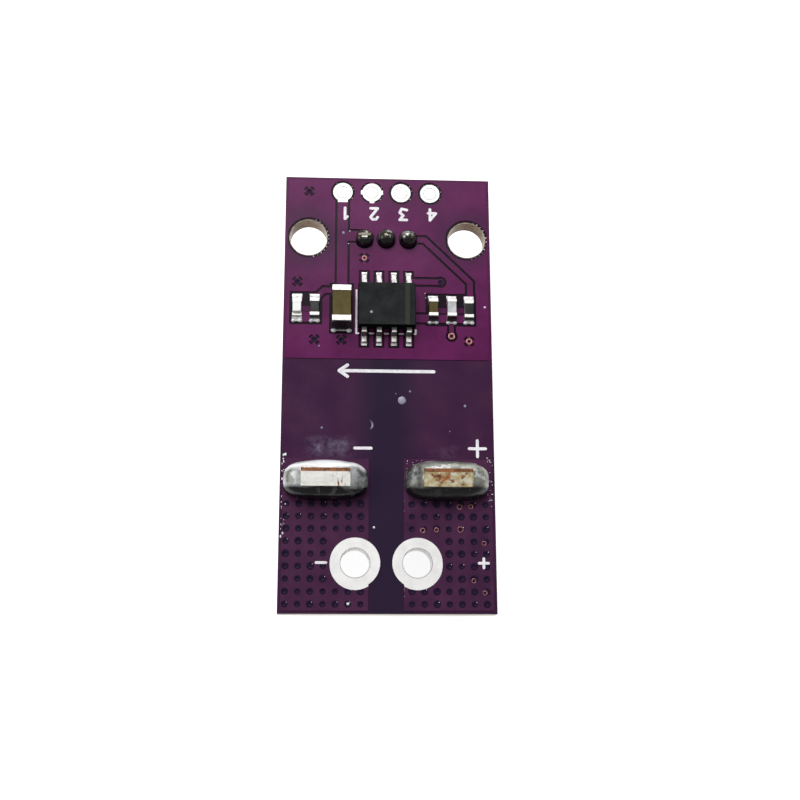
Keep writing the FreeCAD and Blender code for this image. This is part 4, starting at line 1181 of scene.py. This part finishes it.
def mask_glints():
    """Painted glints: short bright dashes along the inner edge of the positive pour, and bright specks
    beside some vias.
    """
    bm = bmesh.new()
    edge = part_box("positive_front_pour")[0][0] / MM
    for _ in range(16):
        blot(bm, edge + 0.02, chance.uniform(-17.5, -9.5), LANDS, 0.02, 0.012, chance.uniform(0.8, 1.4))
    for x, y in list(via_grid("negative")) + list(via_grid("positive")):
        if chance.random() < 0.22:
            blot(bm, x / MM + 0.17, y / MM + 0.14, LANDS, 0.035, 0.015)
    show(bm, "mask_glints", CRUMB_AND_GLINT)


dust()
crumbs()
cut_lead_bar()
corner_beads()
mask_glints()
rim_glints()


# Printed signs, 0.02 mm of ink on the mask

INK_HEIGHT = 0.02 * MM

# Each sign as lines of ink, in shares of its size
STROKES = {
    "1": [[(-0.2, 0.3), (0.0, 0.5), (0.0, -0.5)]],
    "2": [[(-0.3, 0.3), (-0.15, 0.5), (0.15, 0.5), (0.3, 0.3), (-0.3, -0.5), (0.3, -0.5)]],
    "3": [[(-0.3, 0.5), (0.3, 0.5), (0.0, 0.1), (0.3, -0.15), (0.15, -0.5), (-0.3, -0.4)]],
    "4": [[(0.2, -0.5), (0.2, 0.5), (-0.3, -0.15), (0.35, -0.15)]],
    "-": [[(-0.4, 0.0), (0.4, 0.0)]],
    "+": [[(-0.4, 0.0), (0.4, 0.0)], [(0.0, 0.4), (0.0, -0.4)]],
    "arrow": [[(-4.0, 0.0), (4.0, 0.0)], [(-3.3, 0.5), (-4.0, 0.0), (-3.3, -0.5)]],
}


def stroke(bm, start, end, width, low, height):
    """One line of ink with round ends."""
    start, end = Vector((*start, low)), Vector((*end, low))
    run = end - start
    lift = Vector((0, 0, height / 2))
    turn = Matrix.Rotation(math.atan2(run.y, run.x), 4, "Z")
    shape = Matrix.Diagonal((run.length, width, height, 1))
    bar = Matrix.Translation((start + end) / 2 + lift) @ turn @ shape
    bmesh.ops.create_cube(bm, size=1.0, matrix=bar)
    for point in (start, end):
        spot = Matrix.Translation(point + lift)
        bmesh.ops.create_cone(
            bm,
            cap_ends=True,
            segments=12,
            radius1=width / 2,
            radius2=width / 2,
            depth=height * 0.98,
            matrix=spot,
        )


def sign(name, key, x, y, size, width, low, upside_down=False):
    """One printed sign. Each line lies a little higher than the last, so that no two are flush."""
    bm = bmesh.new()
    flip = -1 if upside_down else 1
    laid = 0
    for line in STROKES[key]:
        points = [(x + flip * size * a, y + flip * size * b) for a, b in line]
        for start, end in zip(points, points[1:]):
            laid += 1
            stroke(bm, start, end, width, low, INK_HEIGHT * (1 + 0.04 * laid))
    show(bm, name, SILK, smooth=False)


for number in (1, 2, 3, 4):
    pad_middle = middle(f"header_pad_{number}")
    x, y = pad_middle.x + 0.2 * MM, pad_middle.y - 2.0 * MM
    sign(f"pin_{number}_print", str(number), x, y, 1.02 * MM, 0.24 * MM, LANDS, upside_down=True)
sign("current_arrow", "arrow", -0.1 * MM, 1.35 * MM, 1.0 * MM, 0.28 * MM, MASK)
sign("minus_print", "-", -2.06 * MM, -5.3 * MM, 1.7 * MM, 0.25 * MM, MASK)
sign("plus_print", "+", 7.49 * MM, -5.26 * MM, 1.7 * MM, 0.25 * MM, MASK)
sign("small_minus_print", "-", -5.41 * MM, middle("negative_ring").y, 1.0 * MM, 0.22 * MM, LANDS)
sign("small_plus_print", "+", 7.84 * MM, middle("positive_ring").y, 0.95 * MM, 0.22 * MM, LANDS)


def amp_frame():
    """The printed lines along the amplifier's left and power ends, broken at its lands."""
    low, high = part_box("amp_body")
    left, right = low[0] - 0.11 * MM, high[0] + 0.05 * MM
    row = low[1] - 0.26 * MM
    gap = 0.47 * MM
    bm = bmesh.new()
    stroke(bm, (left, high[1] - 0.3 * MM), (left, row), 0.15 * MM, LANDS, INK_HEIGHT)
    pins = sorted(middle(f"amp_lead_{number}").x for number in (5, 6, 7, 8))
    starts = [left] + [pin + gap for pin in pins]
    ends = [pin - gap for pin in pins] + [right]
    for start, end in zip(starts, ends):
        stroke(bm, (start, row), (end, row), 0.14 * MM, LANDS, INK_HEIGHT * 1.05)
    stroke(bm, (right, row), (right, row + 0.35 * MM), 0.14 * MM, LANDS, INK_HEIGHT * 1.1)
    show(bm, "amp_frame_print", SILK, smooth=False)


def pin_dot():
    """The small moulded mark on the amplifier's first corner."""
    low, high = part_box("amp_body")
    bm = bmesh.new()
    section = [(0.0, 0.002), (0.09, 0.004), (0.12, 0.0), (0.0, -0.01)]
    turned(bm, low[0] + 1.12 * MM, low[1] + 1.17 * MM, high[2], section, 16)
    show(bm, "amp_pin_dot", MOUTH)


amp_frame()
pin_dot()


# Studio


def stage_material(name, colour, strength):
    """A plain matt finish that the camera, gloss and glass see a little brighter."""
    material = bpy.data.materials.new(name)
    material.use_nodes = True
    tree = material.node_tree
    tree.nodes.clear()
    path = place(tree, "ShaderNodeLightPath")
    seen = greatest(tree, path.outputs["Is Camera Ray"], path.outputs["Is Transmission Ray"])
    seen = greatest(tree, seen, path.outputs["Is Glossy Ray"])
    diffuse = place(tree, "ShaderNodeBsdfDiffuse", Color=colour)
    glow = place(tree, "ShaderNodeEmission", Color=WHITE, Strength=strength)
    both = place(tree, "ShaderNodeAddShader")
    tree.links.new(diffuse.outputs["BSDF"], both.inputs[0])
    tree.links.new(glow.outputs["Emission"], both.inputs[1])
    mix = place(tree, "ShaderNodeMixShader")
    tree.links.new(seen, mix.inputs["Fac"])
    tree.links.new(diffuse.outputs["BSDF"], mix.inputs[1])
    tree.links.new(both.outputs["Shader"], mix.inputs[2])
    output = place(tree, "ShaderNodeOutputMaterial")
    tree.links.new(mix.outputs["Shader"], output.inputs["Surface"])
    return material


def stage_sheet(name, corners, material):
    """One flat face of the stage."""
    bm = bmesh.new()
    bm.faces.new([bm.verts.new(corner) for corner in corners])
    mesh = bpy.data.meshes.new(name)
    bm.to_mesh(mesh)
    bm.free()
    sheet = bpy.data.objects.new(name, mesh)
    mesh.materials.append(material)
    bpy.context.collection.objects.link(sheet)


def softbox(name, spot, size, power):
    """A square lamp that faces the part."""
    lamp = bpy.data.lights.new(name, "AREA")
    lamp.size = size
    lamp.energy = power
    light = bpy.data.objects.new(name, lamp)
    light.location = spot
    light.rotation_euler = (-Vector(spot)).to_track_quat("-Z", "Y").to_euler()
    bpy.context.collection.objects.link(light)


def studio():
    """A pale floor in a white room, with one large lamp overhead and two weaker ones."""
    reach = 0.6
    floor = [(-reach, -reach, 0), (reach, -reach, 0), (reach, reach, 0), (-reach, reach, 0)]
    stage_sheet("floor", floor, stage_material("pale_floor", (0.7, 0.7, 0.7, 1), 0.8))
    world = bpy.data.worlds.new("studio")
    bpy.context.scene.world = world
    world.use_nodes = True
    tree = world.node_tree
    tree.nodes.clear()
    path = place(tree, "ShaderNodeLightPath")
    room = place(tree, "ShaderNodeBackground", Color=WHITE, Strength=0.3)
    seen = place(tree, "ShaderNodeBackground", Color=WHITE, Strength=1.0)
    mix = place(tree, "ShaderNodeMixShader")
    tree.links.new(path.outputs["Is Camera Ray"], mix.inputs["Fac"])
    tree.links.new(room.outputs["Background"], mix.inputs[1])
    tree.links.new(seen.outputs["Background"], mix.inputs[2])
    output = place(tree, "ShaderNodeOutputWorld")
    tree.links.new(mix.outputs["Shader"], output.inputs["Surface"])
    softbox("overhead", (-0.04, 0.17, 0.26), 0.16, 0.62)
    softbox("left_fill", (-0.24, 0.02, 0.14), 0.14, 0.16)
    softbox("back_fill", (0.05, 0.3, 0.09), 0.14, 0.16)


CAMERA_PLACE = Vector((-4.754, -26.045, 107.233)) * MM
CAMERA_TURN = [math.radians(angle) for angle in (14.164, -3.325, -0.135)]
CAMERA_LENS = 54.553


def camera():
    """The place from which the photograph was taken."""
    data = bpy.data.cameras.new("photo_angle")
    data.lens = CAMERA_LENS
    data.clip_start = 0.002
    data.clip_end = 10
    view = bpy.data.objects.new("photo_angle", data)
    view.location = CAMERA_PLACE
    view.rotation_euler = CAMERA_TURN
    bpy.context.collection.objects.link(view)
    bpy.context.scene.camera = view


studio()
camera()
bpy.context.scene.view_settings.view_transform = "Standard"
